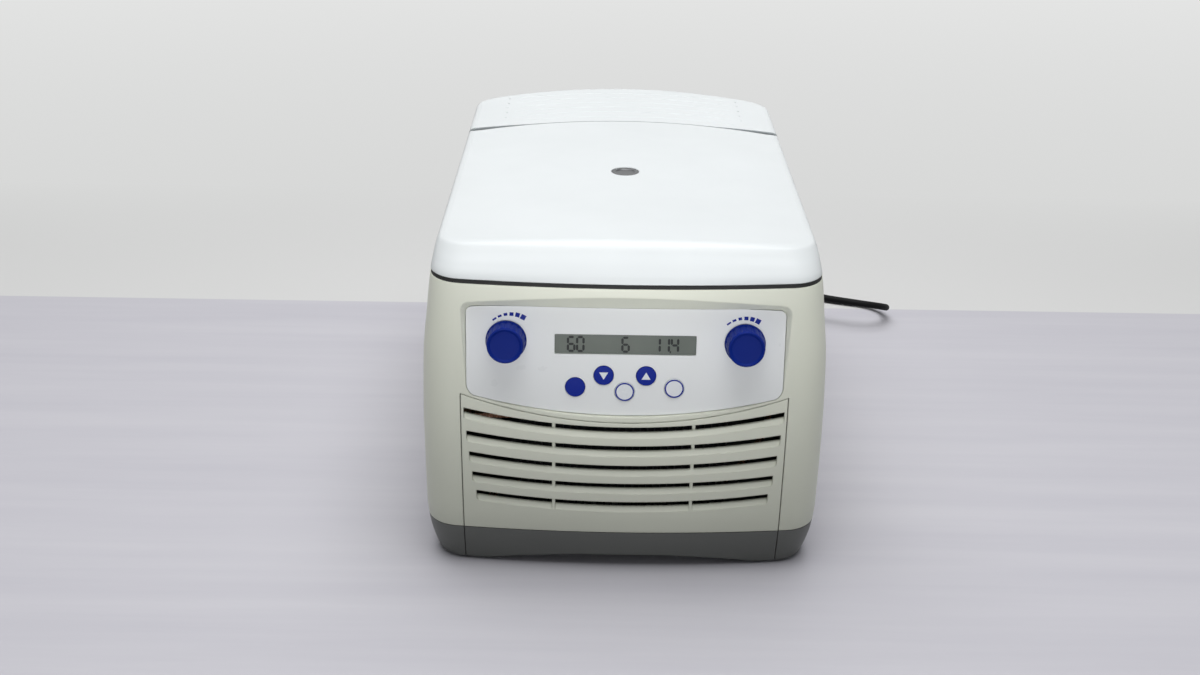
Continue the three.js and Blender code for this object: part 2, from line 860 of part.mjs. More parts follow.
// The fixed cover behind the lid. Shallow grooves cross its top.
function rearTopCover() {
  const low = LEVEL.casingTop + SEAM;
  const outer = casingSolid(low, HEIGHT, 0).intersect(behind(HINGE.y));
  const skin = cut(
    casingSolid(low, HEIGHT + OVERRUN, 0),
    casingSolid(low - OVERRUN, HEIGHT - GROOVE.depth, GROOVE.depth),
  );
  const grooves = [];
  for (let row = 0; row < GROOVE.rows; row += 1) {
    const y = GROOVE.first + row * GROOVE.pitch;
    const sweep = (x) => y + seamAt(x) - seamAt(GROOVE.halfLength);
    const near = curve(sweep, -GROOVE.halfLength, GROOVE.halfLength, GROOVE.steps);
    const far = near.map(([x, yy]) => [x, yy + GROOVE.width]).reverse();
    grooves.push(prism([...near, ...far], 0, FAR, FROM_TOP).intersect(skin));
  }
  return cut(
    outer,
    casingSolid(low - OVERRUN, HEIGHT - WALL, WALL),
    sweptByLid(WIDTH / 2 + OVERRUN),
    ...grooves,
  );
}

// The trough that the lid's rolled lip turns into. It hangs from the deck, and its ends
// carry the hinge pins.
const TROUGH_INNER = seamRadius(0) + TROUGH.clear;

function hingeTrough() {
  const inner = TROUGH_INNER;
  const outer = inner + TROUGH.wall;
  const top = LEVEL.casingTop - DECK - FIT;
  const inside = arc(HINGE.y, HINGE.z, inner, -TROUGH.back, -RIGHT_ANGLE, TROUGH.steps);
  const outside = arc(HINGE.y, HINGE.z, outer, -RIGHT_ANGLE, -TROUGH.back, TROUGH.steps);
  const front = HINGE.y - TROUGH.front;
  const shelf = front - TROUGH.wall;
  const profile = [
    ...inside,
    [front, HINGE.z - inner],
    [front, top],
    [shelf - TROUGH.lip, top],
    [shelf - TROUGH.lip, top - TROUGH.wall],
    [shelf, top - TROUGH.wall],
    [shelf, HINGE.z - outer],
    ...outside,
  ];
  const web = [
    ...arc(HINGE.y, HINGE.z, inner + SMALL, -TROUGH.webBack, -RIGHT_ANGLE, TROUGH.webSteps),
    [front - SMALL, HINGE.z - inner - SMALL],
    [front - SMALL, HINGE.z - HINGE.bossRadius],
    [HINGE.y, HINGE.z - HINGE.bossRadius / 2],
  ];
  const boss = circle(HINGE.y, HINGE.z, HINGE.bossRadius, SIDES.medium);
  const near = TROUGH.end;
  const far = TROUGH.end + TROUGH.wall;
  const ends = [[-far, -near], [near, far]].map(([from, to]) => {
    return join(prism(web, from, to, FROM_SIDE), prism(boss, from, to, FROM_SIDE));
  });
  return cut(join(prism(profile, -far, far, FROM_SIDE), ...ends), hingeBore());
}

// A headed pin through the trough's end into the lid; side is -1 left, 1 right.
function hingePin(side) {
  const { pinRadius, pinLength, lugInner, y, z } = HINGE;
  const inner = TROUGH.end - FIT;
  const frame = new THREE.Matrix4().makeBasis(Y, Z, X.clone().multiplyScalar(side));
  if (side < 0) {
    frame.makeBasis(Z, Y, X.clone().negate());
  }
  const at = side < 0 ? [z, y] : [y, z];
  const head = circle(...at, 2 * pinRadius, SIDES.small);
  const stem = circle(...at, pinRadius, SIDES.small);
  return join(
    prism(head, inner - pinRadius, inner, frame),
    prism(stem, inner - SMALL, lugInner + pinLength - FIT, frame),
  );
}

// Outlines of the front

function grilleTop(x) {
  return GRILLE.top + GRILLE.topRise * (x / GRILLE.halfWidth) ** 2;
}

function grilleOutline(gap, bottom) {
  const half = GRILLE.halfWidth + gap;
  const top = curve((x) => grilleTop(x) + gap, half, -half, GRILLE.topSteps);
  return [[-half, bottom], [half, bottom], ...top];
}

const PANEL_STEPS = { bottom: 8, top: 4, corner: 3 };

// The panel's outline in its own plane, grown by an offset and by another one below.
function panelOutline(offset, below) {
  const half = PANEL.halfWidth + offset;
  const bottom = (x) => PANEL.bottomRise * (x / PANEL.halfWidth) ** 2 - below;
  const top = (x) => PANEL.top + offset - PANEL.topFall * (x / half) ** 2;
  const low = Math.max(PANEL.cornerBottom + offset, 2 * WALL);
  const high = Math.max(PANEL.cornerTop + offset, SMALL);
  const turn = half - low;
  const right = [
    ...arc(turn, bottom(turn) + low, low, LOW_CORNER, 0, PANEL_STEPS.corner),
    ...arc(half - high, top(half) - high, high, 0, RIGHT_ANGLE, PANEL_STEPS.corner),
  ];
  const left = right.map(([x, y]) => [-x, y]).reverse();
  return [
    ...curve(bottom, -turn, turn, PANEL_STEPS.bottom),
    ...right,
    ...curve(top, half - high, high - half, PANEL_STEPS.top).slice(1, -1),
    ...left,
  ];
}

const REAR_FACE = DEPTH / 2 - REAR.inset + REAR.thickness; // outer face of the rear panel

// Front wall, recess for the panel, deck and rear frame: the main moulding.
function housingShell() {
  const low = LEVEL.skirtTop + SEAM;
  const top = LEVEL.casingTop;
  const outer = casingSolid(low, top, 0);
  const recessFloor = PANEL.thickness + FIT;
  const pan = prism(
    panelOutline(PANEL.margin + WALL, PANEL.lowMargin + WALL),
    -recessFloor - WALL,
    FAR,
    ON_PANEL,
  );
  const rearFrame = slab(REAR.halfWidth + WALL, REAR_FACE + FIT, FAR, low, REAR.high + WALL);
  const hollow = cut(casingSolid(low - OVERRUN, top - DECK, WALL), pan, rearFrame);
  const rearBay = casingSolid(top - 2 * DECK, top + OVERRUN, 2 * WALL)
    .intersect(behind(HINGE.y - TROUGH.front - TROUGH.wall));
  const notch = slab(FAR, HINGE.y - TROUGH_INNER, HINGE.y + TROUGH_INNER, HINGE.z - OVERRUN, FAR);
  const bowl = disc(CHAMBER.radius + CHAMBER.wall + SEAM, top - 2 * DECK, FAR);
  const striker = LATCH.strikerY;
  return cut(
    outer,
    hollow,
    prism(panelOutline(PANEL.margin, PANEL.lowMargin), -recessFloor, FAR, ON_PANEL),
    prism(panelOutline(-PANEL.ledge, -PANEL.ledge), -OVERRUN, FAR, ON_PANEL),
    frontTool(grilleOutline(SEAM, 0)),
    turned(bowl, SIDES.large, 0, CHAMBER.y),
    slab(LATCH.slotHalf, striker - LATCH.slotFront, striker + LATCH.slotBack, top - 2 * DECK, FAR),
    rearBay,
    hingeRound(HINGE.notch, WIDTH / 2 + OVERRUN).intersect(notch),
    slab(
      REAR.halfWidth + FIT,
      REAR_FACE - OVERRUN,
      REAR_FACE + FIT,
      REAR.low - FIT,
      REAR.high + FIT,
    ),
    slab(REAR.halfWidth - REAR.lap, REAR_FACE - OVERRUN, FAR, REAR.low + REAR.lap, REAR.high - REAR.lap),
  );
}

// The removable front cover with its louvres

const SLOT_STEPS = 6;

function slotPlace([middle, rise, length]) {
  const half = length * GRILLE.halfWidth;
  return { half, upper: (x) => HEIGHT * (middle + rise * (x / half) ** 2) };
}

function slotCutter({ half, upper }) {
  const radius = GRILLE.slotHeight / 3;
  const lower = (x) => upper(x) - GRILLE.slotHeight;
  const turn = half - radius;
  const round = arc(turn, lower(turn) + radius, radius, LOW_CORNER, 0, GRILLE.cornerSteps);
  const right = [...round, [half, upper(half)]];
  const left = right.map(([x, z]) => [-x, z]).reverse();
  return frontTool([
    ...curve(lower, -turn, turn, SLOT_STEPS),
    ...right,
    ...curve(upper, half, -half, SLOT_STEPS).slice(1, -1),
    ...left,
  ]);
}

// A blade that slopes up and in from the lower lip of its slot.
function louvreBlade({ half, upper }) {
  const rise = GRILLE.slotHeight - GRILLE.opening;
  const rings = curve((x) => upper(x) - GRILLE.slotHeight, -half, half, SLOT_STEPS).map(([x, z]) => {
    const lip = frontSkin(x, z) + GRILLE.lipReach;
    const inner = lip + GRILLE.bladeReach;
    return {
      front: [[x, lip, z - GRILLE.blade], [x, inner, z + rise - GRILLE.blade]],
      rear: [[x, lip, z + SMALL], [x, inner, z + rise]],
    };
  });
  return loft(rings);
}

function frontCover() {
  const bottom = LEVEL.skirtTop + SEAM;
  const wall = cut(
    casingSolid(bottom, LEVEL.casingTop, 0),
    casingSolid(bottom - OVERRUN, LEVEL.casingTop + OVERRUN, WALL),
  );
  const slots = slotShares.map(slotPlace);
  const ribLow = slots[slots.length - 1].upper(0) - GRILLE.slotHeight - WALL;
  const ribHigh = slots[0].upper(0) + WALL;
  const skin = frontSkin(GRILLE.ribX, (ribLow + ribHigh) / 2);
  const ribs = [-1, 1].map((side) => {
    const x = side * GRILLE.ribX;
    const [left, right] = [x - GRILLE.rib / 2, x + GRILLE.rib / 2];
    return box(left, right, skin + WALL / 2, skin + GRILLE.ribReach, ribLow, ribHigh);
  });
  return join(
    cut(wall.intersect(frontTool(grilleOutline(0, bottom))), ...slots.map(slotCutter)),
    ...slots.map(louvreBlade),
    ...ribs,
  );
}

// The grey base

function archCutter() {
  const arch = (x) => LEVEL.skirtBottom + ARCH.rise * (1 - (x / ARCH.halfSpan) ** 2);
  const outline = curve(arch, ARCH.halfSpan, -ARCH.halfSpan, ARCH.steps);
  return frontTool([...outline, [-ARCH.halfSpan, -OVERRUN], [ARCH.halfSpan, -OVERRUN]]);
}

function baseWall() {
  return cut(
    casingSolid(LEVEL.skirtBottom, LEVEL.skirtTop, 0),
    casingSolid(LEVEL.skirtBottom - OVERRUN, LEVEL.skirtTop + OVERRUN, WALL),
  );
}

function frontSkirt() {
  return cut(baseWall().intersect(frontTool(grilleOutline(0, -OVERRUN))), archCutter());
}

// Four round posts at the corners of a rectangle round a place.
function posts(x, y, halfX, halfY, radius, top) {
  const post = disc(radius, FLOOR_TOP - SMALL, top);
  return [[-1, -1], [1, -1], [-1, 1], [1, 1]].map(([sx, sy]) => {
    return turned(post, SIDES.tiny, x + sx * halfX, y + sy * halfY);
  });
}

// The tray that everything stands on, with a pedestal for the motor and low rails and
// posts for the rest.
function basePan() {
  const floor = join(
    casingSolid(LEVEL.floorBottom, FLOOR_TOP, WALL - SMALL).subtract(frontTool(grilleOutline(SEAM, 0))),
    casingSolid(LEVEL.floorBottom, FLOOR_TOP, WALL + FIT),
  );
  const low = FLOOR_TOP - SMALL;
  const pedestalTop = MOTOR.bottom - MOUNT.height - FIT;
  const pedestal = ring(MOUNT.inner, MOUNT.outer, low, pedestalTop);
  const coolerFront = CONDENSER.front - DEPTH / 2;
  const fanFront = FAN_Y - FAN.depth / 2;
  const grommet = COMPRESSOR.base / 2 - COMPRESSOR.grommet - WALL;
  return join(
    cut(baseWall(), frontTool(grilleOutline(SEAM, -OVERRUN))),
    floor,
    turned(pedestal, SIDES.medium, 0, CHAMBER.y),
    slab(CONDENSER.halfWidth, coolerFront, coolerFront + CONDENSER.depth, low, CONDENSER.low - FIT),
    slab(FAN.half, fanFront, fanFront + FAN.depth, low, FAN.z - FAN.half - FIT),
    ...posts(COMPRESSOR.x, COMPRESSOR.y, grommet, grommet, COMPRESSOR.grommet, COMPRESSOR.foot - FIT),
    ...posts(
      SUPPLY.x,
      SUPPLY.y,
      SUPPLY.halfX - SUPPLY.post,
      SUPPLY.halfY - SUPPLY.post,
      SUPPLY.post,
      SUPPLY.level - FIT,
    ),
  );
}

function foot(x, y) {
  const bevel = FOOT.radius - FOOT.foot;
  const top = LEVEL.floorBottom - FIT;
  return turned(
    [[0, 0], [FOOT.foot, 0], [FOOT.radius, bevel], [FOOT.radius, top], [0, top]],
    SIDES.medium,
    x,
    y,
  );
}

// Control panel

function panelHole(x, s, radius) {
  return prism(circle(x, s, radius, SIDES.small), -OVERRUN, OVERRUN, ON_PANEL);
}

function onPanelBlock(x, s, halfX, halfS, back, front) {
  const outline = rectangle(x - halfX, x + halfX, s - halfS, s + halfS);
  return prism(outline, back, front, ON_PANEL);
}

const WINDOW_S = (DISPLAY.windowLow + DISPLAY.windowHigh) / 2;
const WINDOW_HALF = (DISPLAY.windowHigh - DISPLAY.windowLow) / 2;

function controlPanel() {
  return cut(
    prism(panelOutline(0, 0), -PANEL.thickness, 0, ON_PANEL),
    ...[-1, 1].map((side) => panelHole(side * KNOB.x, KNOB.s, ENCODER.bushing + FIT)),
    ...BUTTON_PLACES.map(([, x, s]) => panelHole(x, s, BUTTON.radius + FIT)),
    onPanelBlock(0, WINDOW_S, DISPLAY.windowHalf + FIT, WINDOW_HALF + FIT, -OVERRUN, OVERRUN),
  );
}

// The liquid crystal display: its window fills the opening of the panel, and its body
// stands on the board behind it on four legs.
function displayModule() {
  const { windowHalf, lap, front, depth, leg, sink } = DISPLAY;
  const [halfX, halfS] = [windowHalf + lap, WINDOW_HALF + lap];
  const body = onPanelBlock(0, WINDOW_S, halfX, halfS, -front - depth, -front);
  const window = onPanelBlock(0, WINDOW_S, windowHalf, WINDOW_HALF, -front - SMALL, -sink);
  const legs = [[-1, -1], [1, -1], [-1, 1], [1, 1]].map(([sx, ss]) => {
    const x = sx * (halfX - leg);
    const s = WINDOW_S + ss * (halfS - leg);
    return onPanelBlock(x, s, leg / 2, leg / 2, FIT - BOARD.front, SMALL - front - depth);
  });
  return join(body, window, ...legs);
}

// Board with a small switch under each button, on four spacers to the recess floor.
function controlBoard() {
  const { halfWidth, low, high, front, thickness, spacer } = BOARD;
  const middle = (low + high) / 2;
  const plate = onPanelBlock(0, middle, halfWidth, (high - low) / 2, -front - thickness, -front);
  const { switchHalf, switchHeight } = BUTTON;
  const switches = BUTTON_PLACES.map(([, x, s]) => {
    return onPanelBlock(x, s, switchHalf, switchHalf, -front - SMALL, switchHeight - front);
  });
  const recess = PANEL.thickness + WALL + 2 * FIT;
  const reach = halfWidth - spacer;
  const [lower, upper] = [low + 2 * spacer, high - spacer];
  const spacers = [[-reach, lower], [reach, lower], [-reach, upper], [reach, upper]];
  const feet = spacers.map(([x, s]) => {
    return prism(circle(x, s, spacer, SIDES.tiny), -front - SMALL, -recess, ON_PANEL);
  });
  return join(plate, ...switches, ...feet);
}

function button(x, s) {
  const { radius, flange, flangeThickness, stem, travel, proud, switchHeight } = BUTTON;
  const back = PANEL.thickness + FIT;
  const flangeBack = back + flangeThickness;
  const stemEnd = BOARD.front - switchHeight - travel - FIT;
  const wide = radius + flange;
  return turned(
    [[0, -stemEnd], [stem, -stemEnd], [stem, -flangeBack], [wide, -flangeBack], [wide, -back],
      [radius, -back], [radius, proud / 2], [radius - proud, proud], [0, proud]],
    SIDES.small,
    x,
    s,
    ON_PANEL,
  );
}

// Level and radius as shares of the knob's height and of its skirt radius, and whether
// the flutes are cut there.
const knobShares = [
  [0, 1, 0],
  [0.14, 1, 0],
  [0.2, 0.955, 1],
  [0.93, 0.9, 1],
  [1, 0.84, 0],
];
const KNOB_TOP = KNOB.lift + KNOB.height;
const KNOB_ROOF = KNOB_TOP - KNOB.wall - KNOB.dish; // inside, over the end of the shaft

function knobRing([level, radius, fluted]) {
  const points = [];
  for (let i = 0; i < 2 * KNOB.flutes; i += 1) {
    const angle = Math.PI + (Math.PI * (i + 1 / 2)) / KNOB.flutes;
    const r = radius * KNOB.skirt - (i % 2) * fluted * KNOB.fluteDepth;
    points.push([r * Math.cos(angle), r * Math.sin(angle), KNOB.lift + level * KNOB.height]);
  }
  return { front: points.slice(0, KNOB.flutes), rear: points.slice(KNOB.flutes).reverse() };
}

// A fluted cap with a dished face and a raised rim, hollow behind round its socket.
function knob(side) {
  const rim = knobShares[knobShares.length - 1][1] * KNOB.skirt - KNOB.rim;
  const dish = [
    [0, KNOB_TOP - KNOB.dish],
    [rim - KNOB.dish, KNOB_TOP - KNOB.dish],
    [rim, KNOB_TOP],
    [rim, KNOB_TOP + OVERRUN],
    [0, KNOB_TOP + OVERRUN],
  ];
  const hollow = ring(KNOB.socket, rim - KNOB.wall, 0, KNOB_ROOF - KNOB.wall);
  const blank = cut(
    loft(knobShares.map(knobRing)),
    turned(dish, SIDES.medium, 0, 0),
    turned(hollow, SIDES.medium, 0, 0),
    turned(disc(ENCODER.shaft + FIT, 0, KNOB_ROOF), SIDES.small, 0, 0),
  );
  const place = new THREE.Matrix4().makeTranslation(side * KNOB.x, KNOB.s, 0);
  return moved(blank, place.premultiply(ON_PANEL));
}

function encoderShaft(side) {
  const profile = disc(ENCODER.shaft, FIT - ENCODER.plateFront, KNOB_ROOF - FIT);
  return turned(profile, SIDES.small, side * KNOB.x, KNOB.s, ON_PANEL);
}

// The plate that the shaft presses down on the encoder's push switch.
function pushPlate(side) {
  const back = ENCODER.plateFront + ENCODER.plateThickness;
  const profile = disc(ENCODER.plate, -back, -ENCODER.plateFront);
  return turned(profile, SIDES.small, side * KNOB.x, KNOB.s, ON_PANEL);
}

function encoderBody(side) {
  const [x, s] = [side * KNOB.x, KNOB.s];
  const { half, front, bushing, cavity, cavityTop, floor, shaft } = ENCODER;
  const back = BOARD.front - FIT;
  const neck = disc(bushing, -front - SMALL, 0);
  return cut(
    join(
      onPanelBlock(x, s, half, half, -back, -front),
      turned(neck, SIDES.small, x, s, ON_PANEL),
    ),
    turned(disc(cavity, floor - back, -cavityTop), SIDES.small, x, s, ON_PANEL),
    turned(disc(shaft + FIT, 2 * floor - back, OVERRUN), SIDES.small, x, s, ON_PANEL),
  );
}

// Chamber and rotor

const REARWARD = new THREE.Matrix4().makeBasis(X.clone().negate(), Z, Y);

// A round bar along Y, from a place to the rear, at x and a level.
function barToRear(x, level, radius, from, to) {
  return prism(circle(-x, level, radius, SIDES.tiny), from, to, REARWARD);
}

function rotorBowl() {
  const { radius, wall, bottom, bend, flange, shaftHole } = CHAMBER;
  const under = LEVEL.casingTop + FIT;
  const outer = radius + wall;
  const centre = outer - bend;
  return turned(
    [
      [shaftHole, bottom],
      ...arc(centre, bottom + bend, bend, -RIGHT_ANGLE, 0, CHAMBER.bendSteps),
      [outer, under],
      [outer + flange, under],
      [outer + flange, BOWL_TOP],
      [radius, BOWL_TOP],
      ...arc(centre, bottom + bend, bend - wall, 0, -RIGHT_ANGLE, CHAMBER.bendSteps),
      [shaftHole, bottom + wall],
      [shaftHole, bottom],
    ],
    SIDES.large,
    0,
    CHAMBER.y,
  );
}

const COIL_RADIUS = CHAMBER.radius + CHAMBER.wall + EVAPORATOR.gap + EVAPORATOR.tube;
const INSULATION_BORE = COIL_RADIUS + EVAPORATOR.tube + EVAPORATOR.gap;
const INSULATION_RADIUS = INSULATION_BORE + CHAMBER.insulation;
const COIL_LEVELS = [0, EVAPORATOR.turns].map((turns) => {
  return CHAMBER.bottom + EVAPORATOR.start + turns * EVAPORATOR.pitch;
});
const COIL_PORT = CHAMBER.y + INSULATION_RADIUS + FIT; // where the coil's ends come out

function insulation() {
  const floor = CHAMBER.bottom - FIT;
  const low = floor - CHAMBER.insulationFloor;
  const hole = CHAMBER.shaftHole + WALL;
  const top = LEVEL.casingTop - DECK - TROUGH.wall - 2 * FIT;
  const holes = COIL_LEVELS.map((level) => {
    return barToRear(0, level, EVAPORATOR.tube + FIT, CHAMBER.y + COIL_RADIUS, FAR);
  });
  return cut(
    turned(
      [[hole, low], [INSULATION_RADIUS, low], [INSULATION_RADIUS, top], [INSULATION_BORE, top],
        [INSULATION_BORE, floor], [hole, floor], [hole, low]],
      SIDES.large,
      0,
      CHAMBER.y,
    ),
    ...holes,
  );
}

// One tube wound round the bowl. Both ends turn straight out through the insulation.
function evaporatorCoil() {
  const { tube, turns, pitch, steps, sides } = EVAPORATOR;
  const points = [];
  for (let i = 0; i <= turns * steps; i += 1) {
    const turn = i / steps;
    const angle = RIGHT_ANGLE + 2 * Math.PI * turn;
    points.push(new THREE.Vector3(
      COIL_RADIUS * Math.cos(angle),
      CHAMBER.y + COIL_RADIUS * Math.sin(angle),
      COIL_LEVELS[0] + pitch * turn,
    ));
  }
  const gap = leastGap(points, tube, steps / 2);
  console.log(`least gap of the evaporator coil to itself: ${gap.toFixed(2)} mm`);
  const ends = COIL_LEVELS.map((level) => {
    return barToRear(0, level, tube, CHAMBER.y + COIL_RADIUS, COIL_PORT);
  });
  return join(tubeThrough(points, tube, sides, Z), ...ends);
}

// From the spindle to the middle of a bore's mouth.
const MOUTH_RADIUS = ROTOR.radius - ROTOR.rim
  - ROTOR.boreDepth * Math.sin(ROTOR.tilt) - ROTOR.boreRadius * Math.cos(ROTOR.tilt);
const ROTOR_LOW = CHAMBER.bottom + CHAMBER.wall + ROTOR.lift;
const HUB_TOP = ROTOR_LOW + ROTOR.hubHeight;

// Radius and height of the outside below the cone, as shares of ROTOR.radius.
const rotorShares = [[0.55, 0], [0.95, 0.1], [1, 0.2], [1, 0.38]];

// A fixed-angle rotor: a solid body whose dished face slopes at right angles to a ring of
// bores.
function rotor() {
  const { radius, hub, mouthHeight, tilt, boreRadius, boreDepth, places } = ROTOR;
  const mouthRadius = MOUTH_RADIUS;
  const mouth = ROTOR_LOW + mouthHeight;
  const reach = (mouthRadius - hub) * ROTOR.coneShare;
  const bore = SHAFT.radius + FIT;
  const blank = turned(
    [
      [bore, ROTOR_LOW],
      ...rotorShares.map(([out, up]) => [out * radius, ROTOR_LOW + up * radius]),
      [mouthRadius + reach / 2 + WALL, mouth + reach / 2],
      [mouthRadius + reach / 2, mouth + reach / 2],
      [mouthRadius - reach / 2, mouth - reach / 2],
      [hub, mouth - reach / 2],
      [hub, HUB_TOP],
      [bore, HUB_TOP],
      [bore, ROTOR_LOW],
    ],
    2 * places,
    0,
    CHAMBER.y,
  );
  const bores = [];
  for (let place = 0; place < places; place += 1) {
    const length = boreDepth + OVERRUN;
    const drill = new THREE.CylinderGeometry(boreRadius, boreRadius, length, SIDES.tiny);
    drill.translate(0, OVERRUN - length / 2, 0);
    drill.rotateX(RIGHT_ANGLE);
    drill.rotateY(-tilt);
    drill.translate(mouthRadius, 0, mouth);
    drill.rotateZ((2 * Math.PI * place) / places);
    drill.translate(0, CHAMBER.y, 0);
    bores.push(solid(drill));
  }
  return cut(blank, ...bores);
}

// The spindle: a shoulder under the nut and a thinner end for it.
function motorShaft() {
  const low = MOTOR.top + FIT;
  const shoulder = HUB_TOP - SHAFT.shoulder;
  const top = HUB_TOP + SHAFT.top;
  return turned(
    [[0, low], [SHAFT.radius, low], [SHAFT.radius, shoulder], [SHAFT.stub, shoulder],
      [SHAFT.stub, top], [0, top]],
    SIDES.medium,
    0,
    CHAMBER.y,
  );
}

// The nut that holds the rotor down: six flats over a round collar.
function rotorNut() {
  const low = HUB_TOP + FIT;
  const bore = SHAFT.stub + FIT;
  const flats = 6;
  return cut(
    join(
      turned(disc(NUT.radius - NUT.collar, low, low + NUT.height), flats, 0, CHAMBER.y),
      turned(disc(NUT.radius, low, low + NUT.collar), SIDES.medium, 0, CHAMBER.y),
    ),
    turned(disc(bore, 0, FAR), SIDES.medium, 0, CHAMBER.y),
  );
}

function motor() {
  const { radius, bottom, top, flange, flangeThickness, nose, bevel } = MOTOR;
  return turned(
    [[0, bottom], [radius - bevel, bottom], [radius, bottom + bevel],
      [radius, top - 3 * flangeThickness], [flange, top - 3 * flangeThickness],
      [flange, top - 2 * flangeThickness], [nose, top - flangeThickness], [nose, top], [0, top]],
    SIDES.medium,
    0,
    CHAMBER.y,
  );
}

function motorMount() {
  const high = MOTOR.bottom - FIT;
  const low = MOTOR.bottom - MOUNT.height;
  const middle = (low + high) / 2;
  const { inner, outer, waist } = MOUNT;
  return turned(
    [[inner, low], [outer, low], [outer - waist, middle], [outer, high], [inner, high], [inner, low]],
    SIDES.medium,
    0,
    CHAMBER.y,
  );
}

// Cooling circuit

const CONDENSER_FRONT = CONDENSER.front - DEPTH / 2;
const TUBE_Y = CONDENSER_FRONT + CONDENSER.depth + FIT + CONDENSER_TUBE.radius;
const FAN_Y = TUBE_Y + CONDENSER_TUBE.radius + FAN.gap + FAN.depth / 2;

function tubeRow(row) {
  return CONDENSER.low + ((row + 1 / 2) * (CONDENSER.high - CONDENSER.low)) / CONDENSER_TUBE.rows;
}

// Folded fins of one strip, open in front, closed on the tube side.
function condenserFins() {
  const { halfWidth, low, high, depth, fins, fin } = CONDENSER;
  const pitch = (2 * halfWidth - fin) / (fins - 1);
  const back = CONDENSER_FRONT + depth;
  const outline = [[halfWidth, back], [-halfWidth, back]];
  for (let i = 0; i < fins; i += 1) {
    const x = -halfWidth + i * pitch;
    outline.push([x, CONDENSER_FRONT], [x + fin, CONDENSER_FRONT]);
    if (i + 1 < fins) {
      outline.push([x + fin, back - fin], [x + pitch, back - fin]);
    }
  }
  return prism(outline, low, high, FROM_TOP);
}

// Straight runs behind the fins, joined by return bends beyond their ends.
function condenserCoil() {
  const { radius, rows, bendSteps, sides } = CONDENSER_TUBE;
  const bend = (tubeRow(1) - tubeRow(0)) / 2;
  const reach = CONDENSER.halfWidth;
  const points = [];
  for (let row = 0; row < rows; row += 1) {
    const z = tubeRow(row);
    const heading = row % 2 === 0 ? 1 : -1;
    points.push(new THREE.Vector3(-heading * reach, TUBE_Y, z));
    points.push(new THREE.Vector3(heading * reach, TUBE_Y, z));
    for (let i = 1; i < bendSteps && row + 1 < rows; i += 1) {
      const angle = (Math.PI * i) / bendSteps - RIGHT_ANGLE;
      const x = heading * (reach + bend * Math.cos(angle));
      points.push(new THREE.Vector3(x, TUBE_Y, z + bend + bend * Math.sin(angle)));
    }
  }
  return tubeThrough(points, radius, sides, Y);
}

const FAN_AXIS = new THREE.Matrix4()
  .makeBasis(X, Z, Y.clone().negate())
  .setPosition(0, FAN_Y, FAN.z);

// A square frame with a round throat, and four struts to the seat of the fan's motor.
function fanShroud() {
  const { half, depth, bore, hub, strut } = FAN;
  const back = -depth / 2;
  const reach = bore + SMALL;
  return join(
    cut(
      prism(rectangle(-half, half, -half, half), back, depth / 2, FAN_AXIS),
      prism(circle(0, 0, bore, SIDES.large), -depth, depth, FAN_AXIS),
    ),
    prism(circle(0, 0, hub, SIDES.medium), back, back + WALL, FAN_AXIS),
    prism(rectangle(-reach, reach, -strut / 2, strut / 2), back, back + WALL, FAN_AXIS),
    prism(rectangle(-strut / 2, strut / 2, -reach, reach), back, back + WALL, FAN_AXIS),
  );
}

// Hub and twisted blades, in front of the seat.
function condenserFan() {
  const { depth, hub, hubDepth, reach, pitch, blades: count, blade: thickness } = FAN;
  const back = WALL + FIT - depth / 2;
  const blades = [];
  const chord = hubDepth / Math.sin(pitch) - 2 * thickness;
  const length = reach - hub + WALL;
  for (let i = 0; i < count; i += 1) {
    const blade = new THREE.BoxGeometry(length, chord, thickness);
    blade.rotateX(pitch);
    blade.translate(reach - length / 2, 0, back + hubDepth / 2);
    blade.rotateZ((2 * Math.PI * i) / count);
    blades.push(solid(blade.applyMatrix4(FAN_AXIS)));
  }
  return join(turned(disc(hub, back, back + hubDepth), SIDES.medium, 0, 0, FAN_AXIS), ...blades);
}

// Hermetic compressor: two pressed steel cups on a foot plate, with its terminal cover.
function compressor() {
  const { x, y, radius, foot: low, top, base, plate, seam } = COMPRESSOR;
  const middle = (low + top) / 2;
  const dome = radius / 3;
  const cups = turned(
    [
      [0, low + plate],
      [radius - dome, low + plate],
      [radius, low + plate + dome],
      [radius, middle - seam],
      [radius + seam, middle - seam],
      [radius + seam, middle + seam],
      [radius, middle + seam],
      [radius, top - dome],
      [radius - dome / 2, top - dome / 4],
      [radius - 2 * dome, top],
      [0, top],
    ],
    SIDES.medium,
    x,
    y,
  );
  const footPlate = block(x, y, base / 2, base / 2, low, low + plate + SMALL);
  const coverY = y - radius;
  const cover = block(x, coverY, dome, dome / 2, middle + 2 * seam, top - dome);
  return join(cups, footPlate, cover);
}

// From the compressor along the left wall to the top of the condenser.
function dischargePipe() {
  const { x, y, radius, foot: low } = COMPRESSOR;
  const exit = x - radius - FIT;
  const lane = 3 * PIPE.radius - WIDTH / 2 + WALL;
  const level = tubeRow(CONDENSER_TUBE.rows - 1);
  const inlet = CONDENSER.halfWidth + FIT;
  const drop = (low + level) / 2;
  const step = 4 * PIPE.radius;
  return pipe(
    [
      [exit, y, drop],
      [(exit + lane) / 2, y, drop],
      [lane, y - step, drop],
      [lane, 0, (drop + level) / 2],
      [lane, TUBE_Y + 2 * step, level],
      [lane + step, TUBE_Y + PIPE.radius, level],
      [-inlet - step, TUBE_Y, level],
      [-inlet, TUBE_Y, level],
    ],
    PIPE.radius,
    PIPE.sides,
    PIPE.steps,
  );
}

